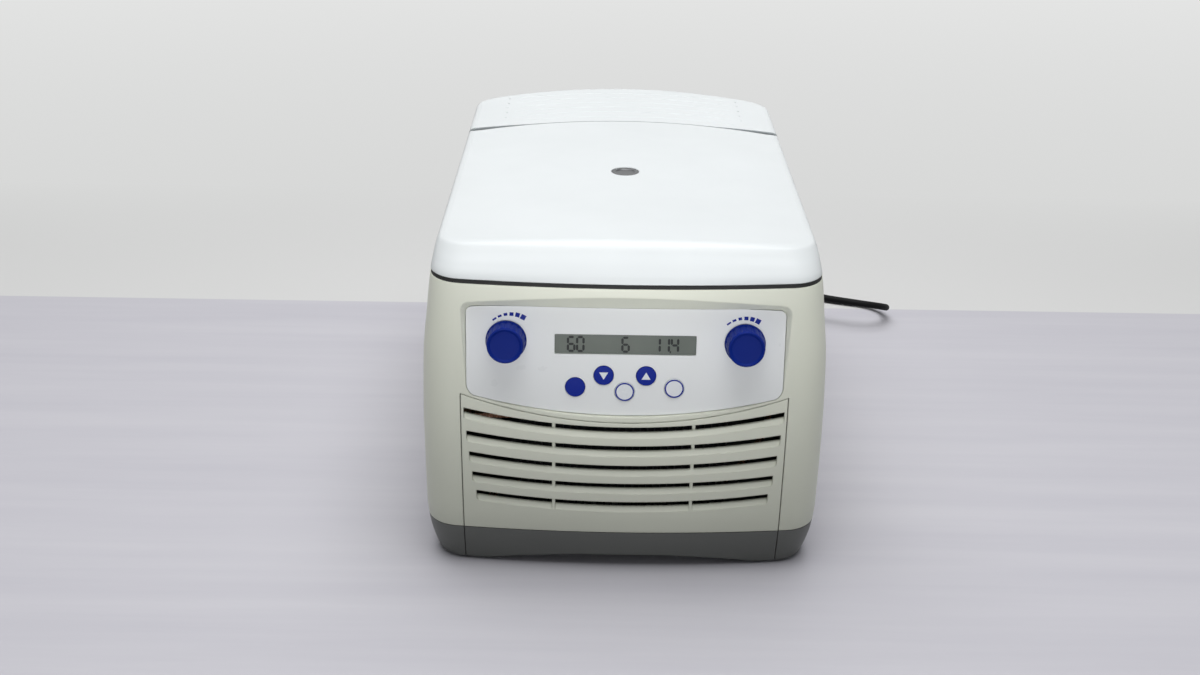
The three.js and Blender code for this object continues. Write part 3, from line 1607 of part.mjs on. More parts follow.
// From the foot of the condenser under the fan to the drier at the right, then as a thin
// capillary to the lower end of the evaporator. Brazed, so it is one piece.
function liquidLine() {
  const { x, y, radius, length, neck } = DRIER;
  const level = tubeRow(0);
  const outlet = CONDENSER.halfWidth + FIT;
  const step = 4 * PIPE.radius;
  const start = y - length / 2 - neck;
  const end = y + length / 2 + neck;
  const feed = pipe(
    [
      [-outlet, TUBE_Y, level],
      [-outlet - step, TUBE_Y, level],
      [-outlet - 2 * step, TUBE_Y + step, (level + FLOOR_TOP) / 2],
      [-FAN.half, FAN_Y + FAN.depth / 2 + step, FLOOR_TOP + 2 * PIPE.radius],
      [FAN.half, FAN_Y + FAN.depth / 2 + step, FLOOR_TOP + 2 * PIPE.radius],
      [x, start - 4 * step, (level + FLOOR_TOP) / 2],
      [x, start - step, level],
      [x, start + SMALL, level],
    ],
    PIPE.radius,
    PIPE.sides,
    PIPE.steps,
  );
  const along = new THREE.Matrix4().makeBasis(X, Z, Y.clone().negate()).setPosition(x, y, level);
  const half = length / 2;
  const drier = turned(
    [[0, -half - neck], [PIPE.radius, -half - neck], [PIPE.radius, -half], [radius, neck - half],
      [radius, half - neck], [PIPE.radius, half], [PIPE.radius, half + neck], [0, half + neck]],
    SIDES.small,
    0,
    0,
    along,
  );
  const port = COIL_LEVELS[0];
  const capillary = pipe(
    [
      [x, end - SMALL, level],
      [x, end + step, level + PIPE.radius],
      [x - 2 * step, end + 2 * step, (level + port) / 2],
      [2 * step, COIL_PORT + step, port],
      [0, COIL_PORT + step / 2, port],
      [0, COIL_PORT + FIT, port],
    ],
    PIPE.capillary,
    PIPE.sides,
    PIPE.steps,
  );
  return join(feed, drier, capillary);
}

// From the upper end of the evaporator down into the top of the compressor.
function suctionPipe() {
  const level = COIL_LEVELS[1];
  const { x, y, top } = COMPRESSOR;
  const step = 4 * PIPE.radius;
  const rise = top + 2 * step;
  return pipe(
    [
      [0, COIL_PORT + FIT, level],
      [0, COIL_PORT + step / 2, level],
      [x / 4, COIL_PORT + step, (level + rise) / 2],
      [x, y - 3 * step, rise + step / 2],
      [x, y - step / 2, rise],
      [x, y, top + step],
      [x, y, top + FIT],
    ],
    PIPE.radius,
    PIPE.sides,
    PIPE.steps,
  );
}

// Electrics

// Half sizes, height and place of the parts on the board, as shares of its half sizes.
const transformerShares = { x: -0.5, halfX: 0.36, halfY: 0.5, height: 0.7 };
const sinkShares = { x: 0.6, halfX: 0.3, y: -0.3, halfY: 0.5, height: 0.6 };
const capacitorShares = { x: [0.3, 0.75], y: 0.62, radius: 0.16, height: 0.55 };
const SINK = { fins: 5, fin: 1.5, base: 3 };

function powerBoard() {
  const { x, y, halfX, halfY, level, board } = SUPPLY;
  const top = level + board - SMALL;
  const [coil, sink, can] = [transformerShares, sinkShares, capacitorShares];
  const sinkX = x + sink.x * halfX;
  const sinkY = y + sink.y * halfY;
  const sinkHalf = sink.halfX * halfX;
  const fins = [];
  for (let i = 0; i < SINK.fins; i += 1) {
    const at = sinkX - sinkHalf + SINK.fin + (i * 2 * (sinkHalf - SINK.fin)) / (SINK.fins - 1);
    fins.push(block(at, sinkY, SINK.fin, sink.halfY * halfY, top, top + sink.height * halfX));
  }
  const cans = can.x.map((share) => {
    const height = top + can.height * halfX;
    return turned(disc(can.radius * halfX, top, height), SIDES.small, x + share * halfX, y + can.y * halfY);
  });
  return join(
    block(x, y, halfX, halfY, level, level + board),
    block(x + coil.x * halfX, y, coil.halfX * halfX, coil.halfY * halfY, top, top + coil.height * halfX),
    block(sinkX, sinkY, sinkHalf, sink.halfY * halfY, top, top + SINK.base),
    ...fins,
    ...cans,
  );
}

const INLET_FACE = REAR_FACE + FIT + INLET.flange;

function rearPanel() {
  const [front, back] = [REAR_FACE - REAR.thickness, REAR_FACE];
  const vents = [];
  for (let row = 0; row < VENT.rows; row += 1) {
    const z = VENT.low + row * VENT.pitch;
    [-VENT.x, 0, VENT.x].forEach((x) => {
      const [left, right] = [x - VENT.halfLength, x + VENT.halfLength];
      vents.push(box(left, right, front - WALL, back + WALL, z, z + VENT.height));
    });
  }
  const middle = INLET.z + (INLET.high - INLET.low) / 2;
  const half = (INLET.high + INLET.low) / 2 + FIT;
  const hole = block(INLET.x, back, INLET.half + FIT, OVERRUN, middle - half, middle + half);
  return cut(slab(REAR.halfWidth, front, back, REAR.low, REAR.high), ...vents, hole);
}

// Pins of the appliance socket, or the larger holes for them in the connector.
function socketPins(grow, from, to) {
  const { pinX, pinZ, pinHalfX, pinHalfZ } = SOCKET;
  return [[-pinX, -pinZ], [pinX, -pinZ], [0, pinZ]].map(([dx, dz]) => {
    const [x, z] = [INLET.x + dx, INLET.z + dz];
    const [halfX, halfZ] = [pinHalfX + grow, pinHalfZ + grow];
    return box(x - halfX, x + halfX, from, to, z - halfZ, z + halfZ);
  });
}

// One moulding with the appliance socket and the seat of the switch, with a flange that
// lies on the rear panel.
function mainsInlet() {
  const { x, z, low, high, half, depth, flange, lap } = INLET;
  const face = INLET_FACE;
  const body = box(x - half, x + half, face - depth, face, z - low, z + high);
  const plate = box(x - half - lap, x + half + lap, face - flange, face, z - low - lap, z + high + lap);
  const { halfX, halfZ, depth: socketDepth } = SOCKET;
  const socket = box(x - halfX, x + halfX, face - socketDepth, face + SMALL, z - halfZ, z + halfZ);
  const level = z + ROCKER.rise;
  const [seatX, seatZ] = [ROCKER.halfX + FIT, ROCKER.halfZ + FIT];
  const seat = box(x - seatX, x + seatX, face - ROCKER.depth, face + SMALL, level - seatZ, level + seatZ);
  return join(
    cut(join(body, plate), socket, seat),
    ...socketPins(0, face - socketDepth - SMALL, face - SOCKET.pinGap),
  );
}

// A rocker whose two halves lean away from its middle, half its swing each.
function powerSwitch() {
  const lean = ROCKER.halfZ * Math.tan(THREE.MathUtils.degToRad(ROCKER.swing / 2));
  const face = INLET_FACE + ROCKER.proud;
  const level = INLET.z + ROCKER.rise;
  const reach = ROCKER.halfZ - FIT;
  const back = INLET_FACE - ROCKER.depth / 2;
  const outline = [
    [back, level - reach / 2],
    [INLET_FACE - ROCKER.proud / 2, level - reach],
    [face - lean, level - reach],
    [face - lean, level],
    [face + lean, level + reach],
    [INLET_FACE - ROCKER.proud / 2, level + reach],
    [back, level + reach / 2],
  ];
  const [left, right] = [INLET.x - ROCKER.halfX, INLET.x + ROCKER.halfX];
  return prism(outline, left, right, FROM_SIDE);
}

// Lid lock

const HOOK = {
  y: LATCH.strikerY + LATCH.pivotBack,
  z: LINER_LOW - LATCH.pivotDrop,
  low: LINER_LOW - LATCH.windowLow,
  high: LINER_LOW - LATCH.windowHigh,
};

function lidStriker() {
  const { strikerY, strikerHalf, striker, strikerBottom, windowHalf } = LATCH;
  const top = LINER_LOW - FIT;
  const half = striker / 2;
  return join(
    cut(
      slab(strikerHalf, strikerY - half, strikerY + half, LINER_LOW - strikerBottom, top),
      slab(windowHalf, strikerY - striker, strikerY + striker, HOOK.low, HOOK.high),
    ),
    slab(strikerHalf, strikerY - 2 * striker, strikerY + 2 * striker, top - half, top),
  );
}

// The hook is drawn locked and then turned back about its pivot to its released place.
function latchHook() {
  const { hookRadius, hookHalf, strikerY, release, pin, striker } = LATCH;
  const nose = strikerY - striker;
  const slack = 2 * FIT;
  const outline = [
    ...arc(HOOK.y, HOOK.z, hookRadius, Math.PI, 2 * Math.PI, LATCH.hookSteps),
    [HOOK.y + hookRadius, HOOK.high - slack - striker],
    [HOOK.y + hookRadius - striker, HOOK.high - slack],
    [nose + striker, HOOK.high - slack],
    [nose, HOOK.low + slack + striker],
    [nose, HOOK.low + slack],
    [HOOK.y - hookRadius, HOOK.low + slack],
  ];
  const hook = cut(
    prism(outline, -hookHalf, hookHalf, FROM_SIDE),
    prism(circle(HOOK.y, HOOK.z, pin + FIT, SIDES.small), -FAR, FAR, FROM_SIDE),
  );
  const back = new THREE.Matrix4().makeTranslation(0, -HOOK.y, -HOOK.z);
  back.premultiply(new THREE.Matrix4().makeRotationX(-release));
  back.premultiply(new THREE.Matrix4().makeTranslation(0, HOOK.y, HOOK.z));
  return moved(hook, back);
}

// Two cheeks that hang from the deck on a foot plate and hold the hook's pin.
function latchBracket() {
  const { hookRadius, cheek, cheekGap, slotHalf, slotBack, strikerY, pin } = LATCH;
  const top = LEVEL.casingTop - DECK - FIT;
  const plateFront = strikerY + slotBack + cheek;
  const plateBack = plateFront + 2 * hookRadius;
  const outline = [
    [HOOK.y - hookRadius, HOOK.z - hookRadius],
    [HOOK.y + hookRadius, HOOK.z - hookRadius],
    [plateBack, top - SMALL],
    [plateFront, top - SMALL],
    [HOOK.y - hookRadius, HOOK.z + hookRadius],
  ];
  return cut(
    join(
      slab(slotHalf + hookRadius, plateFront, plateBack, top - cheek, top),
      prism(outline, cheekGap, cheekGap + cheek, FROM_SIDE),
      prism(outline, -cheekGap - cheek, -cheekGap, FROM_SIDE),
    ),
    prism(circle(HOOK.y, HOOK.z, pin + FIT, SIDES.small), -FAR, FAR, FROM_SIDE),
  );
}

// The gear motor beside the bracket; its output shaft is the pin of the hook.
function lockMotor() {
  const { motor: radius, motorLength, cheek, cheekGap, pin } = LATCH;
  const near = cheekGap + cheek + FIT;
  const bar = (r, from, to) => prism(circle(HOOK.y, HOOK.z, r, SIDES.small), from, to, FROM_SIDE);
  return join(
    bar(pin, -near - cheek, near + SMALL),
    bar(2 * pin, -near - cheek, -near),
    bar(radius + cheek / 2, near, near + motorLength / 3),
    bar(radius, near, near + motorLength),
  );
}

// Mains lead

const CONNECTOR_FACE = INLET_FACE + FIT;
const CONNECTOR_END = CONNECTOR_FACE + CONNECTOR.length + CONNECTOR.relief;

// Place along the grip, then its half width and half height, as shares.
const gripShares = [[0, 1, 1], [0.45, 1, 1], [0.75, 0.8, 0.92], [1, 0.55, 0.75]];

function gripRing([place, shareX, shareZ]) {
  const y = CONNECTOR_FACE + place * CONNECTOR.length;
  const halfX = CONNECTOR.halfX * shareX;
  const halfZ = CONNECTOR.halfZ * shareZ;
  const chamfer = halfZ / 3;
  const half = (facing) => [
    [INLET.x - halfX, y, INLET.z + facing * (halfZ - chamfer)],
    [INLET.x - halfX + chamfer, y, INLET.z + facing * halfZ],
    [INLET.x + halfX - chamfer, y, INLET.z + facing * halfZ],
    [INLET.x + halfX, y, INLET.z + facing * (halfZ - chamfer)],
  ];
  return { front: half(-1), rear: half(1) };
}

// The connector: a nose in the appliance socket, a grip and a tapering relief.
function cordConnector() {
  const { length, noseFit, relief, reliefRadius } = CONNECTOR;
  const tipY = INLET_FACE - SOCKET.depth + noseFit;
  const halfX = SOCKET.halfX - noseFit;
  const halfZ = SOCKET.halfZ - noseFit;
  const face = CONNECTOR_FACE;
  const nose = box(INLET.x - halfX, INLET.x + halfX, tipY, face + SMALL, INLET.z - halfZ, INLET.z + halfZ);
  const frame = REARWARD.clone().setPosition(INLET.x, 0, INLET.z);
  const start = face + length - SMALL;
  const cone = turned(
    [[0, start], [reliefRadius, start], [CORD.radius + FIT, start + relief], [0, start + relief]],
    SIDES.small,
    0,
    0,
    frame,
  );
  const holes = socketPins(FIT, tipY - SMALL, INLET_FACE - SOCKET.pinGap + FIT);
  return join(cut(nose, ...holes), loft(gripShares.map(gripRing)), cone);
}

// The lead after it leaves the connector: out to the right of the casing, down to the
// floor and behind the casing to the coil. Places are chosen by hand, measured to the
// right of the socket, back from the connector's end and up from the floor.
const leadRoute = [
  [5.3, 35.6, 63.1],
  [23.6, 52.3, 56.6],
  [56.4, 52.5, 48.4],
  [84.9, 36.9, 40.4],
  [106.2, 11.6, 33.5],
  [128, -13.3, 28.7],
  [146.9, -20.1, 28.3],
  [177, -29, 27.3],
  [195.2, -22.5, 22.4],
  [204.4, -6, 14.2],
  [198.8, 16.1, 6.6],
  [182.1, 29.5, 4.1],
  [167, 33.4, 3.8],
  [143, 42, 3.7],
  [110, 60, 3.7],
  [70, 81, 3.7],
  [25, 97, 3.7],
];

const COIL_Y = DEPTH / 2 + COIL.y;
const COIL_OUTER = COIL.inner + (COIL.turns / 2) * COIL.pitch;
const COIL_LOW = CORD.radius + CORD.lie;
const COIL_END = 2 * CORD.radius; // each end runs straight this far

function powerCord() {
  const last = COIL.x + COIL_END + FIT;
  const route = [
    [INLET.x, CONNECTOR_END + FIT, INLET.z],
    [INLET.x, CONNECTOR_END + 4 * CORD.radius, INLET.z],
    ...leadRoute.map(([x, y, z]) => [INLET.x + x, CONNECTOR_END + y, z]),
    [last + 2 * COIL_END, COIL_Y + COIL_OUTER, COIL_LOW],
    [last, COIL_Y + COIL_OUTER, COIL_LOW],
  ];
  return pipe(route, CORD.radius, CORD.sides, CORD.steps);
}

// Centre line of the coil: it winds in on the lower layer, climbs in the half turn in
// which it turns back, and winds out again on the upper layer.
function coilPath() {
  const { x, inner, pitch, layer, turns, steps } = COIL;
  const points = [new THREE.Vector3(x + COIL_END, COIL_Y + COIL_OUTER, COIL_LOW)];
  for (let i = 0; i <= turns * steps; i += 1) {
    const turn = i / steps;
    const fromMiddle = turn - turns / 2;
    const angle = RIGHT_ANGLE + 2 * Math.PI * turn;
    const radius = inner + pitch * Math.abs(fromMiddle);
    const climb = THREE.MathUtils.smoothstep(fromMiddle, -1 / 4, 1 / 4);
    points.push(new THREE.Vector3(
      x + radius * Math.cos(angle),
      COIL_Y + radius * Math.sin(angle),
      COIL_LOW + layer * climb,
    ));
  }
  points.push(new THREE.Vector3(x - COIL_END, COIL_Y + COIL_OUTER, COIL_LOW + layer));
  return points;
}

function cordCoil() {
  const points = coilPath();
  const fine = new THREE.CatmullRomCurve3(points).getPoints(COIL.fine * points.length);
  const gap = leastGap(fine, CORD.radius, (COIL.fine * COIL.steps) / 2);
  console.log(`least gap of the cord coil to itself: ${gap.toFixed(2)} mm`);
  return tubeThrough(points, CORD.radius, COIL.sides, Z);
}

// Place along the plug's body, then its half width and half height, as shares.
const plugShares = [[0, 0.62, 0.75], [0.2, 0.85, 0.95], [0.45, 1, 1], [1, 1, 1]];

// A plug with two flat blades and a round one, lying beside the coil's upper end.
function mainsPlug() {
  const { half, length, relief, neck, blade, round } = PLUG;
  const level = COIL_LOW + COIL.layer;
  const start = COIL.x - COIL_END - FIT;
  const y = COIL_Y + COIL_OUTER;
  const leftward = new THREE.Matrix4()
    .makeBasis(Y, Z, X)
    .scale(new THREE.Vector3(1, 1, -1))
    .setPosition(start, y, level);
  const rings = plugShares.map(([place, shareY, shareZ]) => {
    const x = start - relief - place * length;
    const halfY = half * shareY;
    const halfZ = level * shareZ;
    const chamfer = halfZ / 3;
    const side = (facing) => [
      [x, y - halfY, level + facing * (halfZ - chamfer)],
      [x, y - halfY + chamfer, level + facing * halfZ],
      [x, y + halfY - chamfer, level + facing * halfZ],
      [x, y + halfY, level + facing * (halfZ - chamfer)],
    ];
    return { front: side(-1), rear: side(1) };
  });
  const cone = turned(
    [[0, 0], [CORD.radius + FIT, 0], [neck, relief + SMALL], [0, relief + SMALL]],
    SIDES.small,
    0,
    0,
    leftward,
  );
  const base = relief + length - SMALL;
  const tip = relief + length + blade.length;
  const blades = [-1, 1].map((sideways) => {
    const middle = sideways * blade.apart;
    const outline = rectangle(
      middle - blade.half,
      middle + blade.half,
      blade.rise - blade.halfHeight,
      blade.rise + blade.halfHeight,
    );
    return prism(outline, base, tip, leftward);
  });
  const pin = prism(circle(0, -round.drop, round.radius, SIDES.tiny), base, tip, leftward);
  return join(loft(rings), cone, ...blades, pin);
}

// Finishes

function finish(color, roughness, metalness) {
  return new THREE.MeshStandardMaterial({ color, roughness, metalness });
}

const lidWhite = finish(0xe9eceb, 0.38, 0);
const frontCream = finish(0xdedfd2, 0.42, 0);
const baseGrey = finish(0x8d9090, 0.5, 0);
const panelWhite = finish(0xe6e9e8, 0.35, 0);
const knobBlue = finish(0x1f3c9c, 0.4, 0);
const keyWhite = finish(0xe8ebee, 0.35, 0);
const darkGlass = finish(0x3a4044, 0.12, 0);
const displayGrey = finish(0x9aa39b, 0.25, 0);
const blackPlastic = finish(0x17181a, 0.45, 0);
const rubber = finish(0x1c1c1d, 0.85, 0);
const boardGreen = finish(0x1d5a35, 0.5, 0);
const steel = finish(0xb9bcbf, 0.32, 0.9);
const sheet = finish(0xc9cbc6, 0.45, 0.2);
const aluminium = finish(0xbfc3c6, 0.35, 0.85);
const copper = finish(0xb87348, 0.3, 0.9);
const blackSteel = finish(0x202224, 0.45, 0.4);
const foam = finish(0xd8cfae, 0.95, 0);

const centrifuge = new THREE.Group();

function add(name, piece, material) {
  const mesh = new THREE.Mesh(geometryOf(piece), material);
  mesh.name = name;
  centrifuge.add(mesh);
}

function addCasing() {
  add('base_pan', basePan(), baseGrey);
  add('front_skirt', frontSkirt(), baseGrey);
  add('housing_shell', housingShell(), frontCream);
  add('front_cover', frontCover(), frontCream);
  add('rear_top_cover', rearTopCover(), lidWhite);
  add('rear_panel', rearPanel(), sheet);
  add('foot_front_left', foot(-FOOT.x, -FOOT.y), rubber);
  add('foot_front_right', foot(FOOT.x, -FOOT.y), rubber);
  add('foot_rear_left', foot(-FOOT.x, FOOT.y), rubber);
  add('foot_rear_right', foot(FOOT.x, FOOT.y), rubber);
}

function addLid() {
  add('lid_cover', lidCover(), lidWhite);
  add('lid_liner', lidLiner(), panelWhite);
  add('lid_seal', lidSeal(), rubber);
  add('sight_glass', sightGlass(), darkGlass);
  add('lid_striker', lidStriker(), steel);
  add('hinge_trough', hingeTrough(), frontCream);
  add('hinge_pin_left', hingePin(-1), steel);
  add('hinge_pin_right', hingePin(1), steel);
  add('latch_bracket', latchBracket(), steel);
  add('latch_hook', latchHook(), steel);
  add('lock_motor', lockMotor(), blackPlastic);
}

function addPanel() {
  add('control_panel', controlPanel(), panelWhite);
  add('display_module', displayModule(), displayGrey);
  add('control_board', controlBoard(), boardGreen);
  BUTTON_PLACES.forEach(([name, x, s]) => {
    add(name, button(x, s), WHITE_BUTTONS.includes(name) ? keyWhite : knobBlue);
  });
  [['time', -1], ['speed', 1]].forEach(([name, side]) => {
    add(`${name}_knob`, knob(side), knobBlue);
    add(`${name}_shaft`, encoderShaft(side), steel);
    add(`${name}_push_plate`, pushPlate(side), steel);
    add(`${name}_encoder`, encoderBody(side), blackPlastic);
  });
}

function addChamber() {
  add('rotor_bowl', rotorBowl(), steel);
  add('chamber_insulation', insulation(), foam);
  add('evaporator_coil', evaporatorCoil(), copper);
  add('rotor', rotor(), aluminium);
  add('rotor_nut', rotorNut(), steel);
  add('motor_shaft', motorShaft(), steel);
  add('drive_motor', motor(), blackSteel);
  add('motor_mount', motorMount(), rubber);
}

function addCooling() {
  add('condenser_fins', condenserFins(), aluminium);
  add('condenser_coil', condenserCoil(), copper);
  add('fan_shroud', fanShroud(), blackPlastic);
  add('condenser_fan', condenserFan(), blackPlastic);
  add('compressor', compressor(), blackSteel);
  add('discharge_pipe', dischargePipe(), copper);
  add('liquid_line', liquidLine(), copper);
  add('suction_pipe', suctionPipe(), copper);
}

function addElectrics() {
  add('power_board', powerBoard(), boardGreen);
  add('mains_inlet', mainsInlet(), blackPlastic);
  add('power_switch', powerSwitch(), blackPlastic);
  add('cord_connector', cordConnector(), blackPlastic);
  add('power_cord', powerCord(), rubber);
  add('cord_coil', cordCoil(), rubber);
  add('mains_plug', mainsPlug(), blackPlastic);
}

addCasing();
addLid();
addPanel();
addChamber();
addCooling();
addElectrics();

// The knobs stand proud of the casing: the model moves back by half of that.
const proud = centrifuge.getObjectByName('time_knob').geometry;
proud.computeBoundingBox();
centrifuge.position.y = -(proud.boundingBox.min.y + DEPTH / 2) / 2;

export default centrifuge;
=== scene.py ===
"""The looks of a refrigerated microcentrifuge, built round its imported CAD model.

Lengths are in millimetres, measured like the CAD source from the middle of the
casing's footprint, and are turned into metres in the shared frame by at().
"""

import json
import math

import bmesh
import bpy
import numpy as np
from mathutils import Matrix, Vector


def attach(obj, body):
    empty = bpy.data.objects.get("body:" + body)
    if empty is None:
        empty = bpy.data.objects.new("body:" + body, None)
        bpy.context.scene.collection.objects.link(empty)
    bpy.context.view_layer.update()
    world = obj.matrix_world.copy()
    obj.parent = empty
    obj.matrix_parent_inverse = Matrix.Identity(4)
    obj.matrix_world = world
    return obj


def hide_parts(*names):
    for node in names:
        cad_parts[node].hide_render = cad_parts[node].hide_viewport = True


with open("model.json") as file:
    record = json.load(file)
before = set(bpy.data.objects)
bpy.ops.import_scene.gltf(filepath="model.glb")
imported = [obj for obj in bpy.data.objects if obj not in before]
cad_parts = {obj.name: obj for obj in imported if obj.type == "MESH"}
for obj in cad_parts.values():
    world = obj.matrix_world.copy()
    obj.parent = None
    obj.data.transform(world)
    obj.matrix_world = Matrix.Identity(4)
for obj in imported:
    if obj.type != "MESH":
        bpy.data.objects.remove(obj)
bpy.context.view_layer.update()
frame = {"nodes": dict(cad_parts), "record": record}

METRE = 0.001  # one millimetre, in metres
SHIFT = 3.42027  # how far the shared frame's origin lies in front of the casing's middle
RIGHT_ANGLE = math.pi / 2
SIDES = (-1, 1)


def at(x, y, z):
    return Vector((x * METRE, (y + SHIFT) * METRE, z * METRE))


# Camera

scene = bpy.context.scene
CAMERA = (-19.55, -1194.79, 628.71)
PITCH, YAW, ROLL = (math.radians(a) for a in (23.81, -0.06, 0.9))
PICTURE_WIDTH, PICTURE_HEIGHT = 1200, 675
FOCAL_PIXELS, AXIS_ROW = 1485, 331.84
SENSOR = 36


def make_camera():
    data = bpy.data.cameras.new("camera")
    data.sensor_width = SENSOR
    data.lens = SENSOR * FOCAL_PIXELS / PICTURE_WIDTH
    data.shift_y = -(PICTURE_HEIGHT / 2 - AXIS_ROW) / PICTURE_WIDTH
    data.clip_start = 0.02
    data.clip_end = 60
    camera = bpy.data.objects.new("camera", data)
    scene.collection.objects.link(camera)
    level = Matrix.Rotation(YAW, 3, "Z") @ Matrix.Rotation(RIGHT_ANGLE - PITCH, 3, "X")
    camera.matrix_world = (level @ Matrix.Rotation(ROLL, 3, "Z")).to_4x4()
    camera.location = at(*CAMERA)
    scene.camera = camera


make_camera()

# Sizes of the casing and of what it carries, as in the CAD model

WIDTH, DEPTH, HEIGHT = 300.0, 460.0, 263.0
HALF_WIDTH = WIDTH / 2
WALL, FIT, SEAM, OVERRUN, SMALL = 3.0, 0.3, 0.6, 20.0, 0.1
FAR = 1500.0
CORNER, FRONT_BOW, REAR_BOW, CROWN = 26.0, 7.0, 20.0, 7.7
SKIRT_BOTTOM, FLOOR_BOTTOM, SKIRT_TOP, CASING_TOP, LID_BOTTOM = 2.5, 8.0, 33.7, 235.0, 237.0
FLOOR_TOP, DECK = 11.0, 3.0
HINGE_Y, HINGE_Z, SWING = 84.0, 240.0, math.radians(65)
LUG_INNER, PIN_RADIUS, PIN_LENGTH, BOSS = 130.5, 3.0, 10.0, 9.0
CHAMBER_Y, CHAMBER_RADIUS, BOWL_WALL = -43.7, 98.0, 1.2
PANEL_LEAN = math.radians(8)
PANEL_FOOT = (0, 3.5 - DEPTH / 2, 135.0)
PANEL_HALF, PANEL_FOIL = 115.0, 2.5
KNOB_X, KNOB_S = 86.0, 56.2
BUTTONS = {
    "short_button": (-36, 21.3, "short_key"),
    "temp_down_button": (-15.4, 30.4, "temp_down_key"),
    "temp_up_button": (15.4, 30.4, "temp_up_key"),
    "fast_temp_button": (0, 18.3, "fast_temp_key"),
    "open_button": (36, 21.3, "open_key"),
}
WHITE_BUTTONS = ("fast_temp_button", "open_button")
BUTTON_RADIUS = 7.2

# Height, half width, front and rear as shares of the casing's sizes, then the shares of
# the crown and of the rear bow.
CASING_SHARES = np.array([
    [0, 0.95, 0.938, 0.985, 0, 0.25],
    [0.055, 0.976, 0.955, 0.992, 0, 0.25],
    [0.114, 0.993, 0.972, 0.998, 0, 0.25],
    [0.19, 1, 0.986, 1, 0, 0.25],
    [0.44, 1, 1, 1, 0, 0.25],
    [0.65, 0.991, 0.995, 1, 0, 0.25],
    [0.78, 0.969, 0.988, 0.999, 0, 0.25],
    [0.901, 0.945, 0.978, 0.997, 0, 0.3],
    [0.94, 0.935, 0.952, 0.993, 0.35, 0.5],
    [0.97, 0.929, 0.926, 0.985, 0.8, 0.75],
    [0.987, 0.921, 0.911, 0.977, 1, 0.9],
    [0.9965, 0.909, 0.898, 0.965, 1, 1],
    [1, 0.884, 0.876, 0.94, 1, 1],
])


def eased(t, values, new_t):
    """Values at new_t on a smooth curve that never swings past its points."""
    gap = np.diff(t)
    slope = np.diff(values) / gap
    turn = np.zeros(len(t))
    turn[0], turn[-1] = slope[0], slope[-1]
    for i in range(1, len(t) - 1):
        if slope[i - 1] * slope[i] > 0:
            near, far = 2 * gap[i] + gap[i - 1], gap[i] + 2 * gap[i - 1]
            turn[i] = (near + far) / (near / slope[i - 1] + far / slope[i])
    k = np.clip(np.searchsorted(t, new_t, side="right") - 1, 0, len(t) - 2)
    h = gap[k]
    u = (new_t - t[k]) / h
    return (
        values[k] * (2 * u**3 - 3 * u**2 + 1)
        + h * turn[k] * (u**3 - 2 * u**2 + u)
        + values[k + 1] * (3 * u**2 - 2 * u**3)
        + h * turn[k + 1] * (u**3 - u**2)
    )


def fine_casing(steps):
    """The casing's rows with smooth rows between them."""
    sizes = np.array([HEIGHT, HALF_WIDTH, DEPTH / 2])
    along = np.linalg.norm(np.diff(CASING_SHARES[:, :3] * sizes, axis=0), axis=1)
    t = np.concatenate([[0], np.cumsum(along)])
    fine = [0.0]
    for a, b in zip(t[:-1], t[1:]):
        fine += [a + (b - a) * (i + 1) / steps for i in range(steps)]
    fine = np.array(fine)
    columns = [eased(t, column, fine) for column in CASING_SHARES.T]
    return np.stack(columns, axis=1)


FINE = fine_casing(4)
EDGE_STEPS, CORNER_STEPS = 20, 9


def casing_at(level, inset):
    share = min(max(level / (HEIGHT - inset), 0), 1)
    width, front, rear, crown, bow = (
        np.interp(share, FINE[:, 0], column) for column in FINE.T[1:]
    )
    return (
        width * HALF_WIDTH - inset,
        front * DEPTH / 2 - inset,
        rear * DEPTH / 2 - inset,
        crown * CROWN,
        bow * REAR_BOW,
    )


def arc(x, y, radius, start, end, steps):
    return [
        (x + radius * math.cos(a), y + radius * math.sin(a))
        for a in np.linspace(start, end, steps + 1)
    ]


def circle(x, y, radius, sides):
    return arc(x, y, radius, 0, 2 * math.pi, sides)[:-1]


def curve(height, start, end, steps):
    return [(x, height(x)) for x in np.linspace(start, end, steps + 1)]


def mirrored(points):
    return [(-x, y) for x, y in reversed(points)]


def casing_edge(bow, reach, half_width, radius):
    slope = math.atan(2 * bow / (half_width - radius))
    edge = half_width - radius + radius * math.sin(slope)

    def y(x):
        return reach - bow * (x / edge) ** 2

    x0 = edge - radius * math.sin(slope)
    y0 = y(edge) - radius * math.cos(slope)
    right = arc(x0, y0, radius, RIGHT_ANGLE - slope, 0, CORNER_STEPS)
    return [*mirrored(right), *curve(y, -edge, edge, EDGE_STEPS)[1:-1], *right]


def casing_ring(level, inset):
    half_width, front, rear, crown, bow = casing_at(level, inset)
    radius = CORNER - inset

    def half(bow_here, reach, facing):
        edge = casing_edge(bow_here, reach, half_width, radius)
        return [(x, facing * y, level - crown * (x / HALF_WIDTH) ** 2) for x, y in edge]

    return half(FRONT_BOW, front, -1), half(bow, rear, 1)


# Meshes and the work done on them

WORK = []


def filled(mesh, verts, faces, pointed=False):
    """Gives a mesh its faces; a pointed one has rings that may close to a point."""
    mesh.from_pydata([tuple(v) for v in verts], [], [tuple(f) for f in faces])
    b = bmesh.new()
    b.from_mesh(mesh)
    bmesh.ops.remove_doubles(b, verts=b.verts, dist=1e-5)
    if pointed:
        bmesh.ops.dissolve_degenerate(b, dist=1e-6, edges=b.edges)
    bmesh.ops.recalc_face_normals(b, faces=b.faces)
    b.to_mesh(mesh)
    b.free()


def new_object(verts, faces, pointed=False):
    mesh = bpy.data.meshes.new("work")
    filled(mesh, verts, faces, pointed)
    o = bpy.data.objects.new("work", mesh)
    scene.collection.objects.link(o)
    WORK.append(o)
    return o


def drop(*objects):
    for o in objects:
        WORK.remove(o)
        mesh = o.data
        bpy.data.objects.remove(o)
        bpy.data.meshes.remove(mesh)


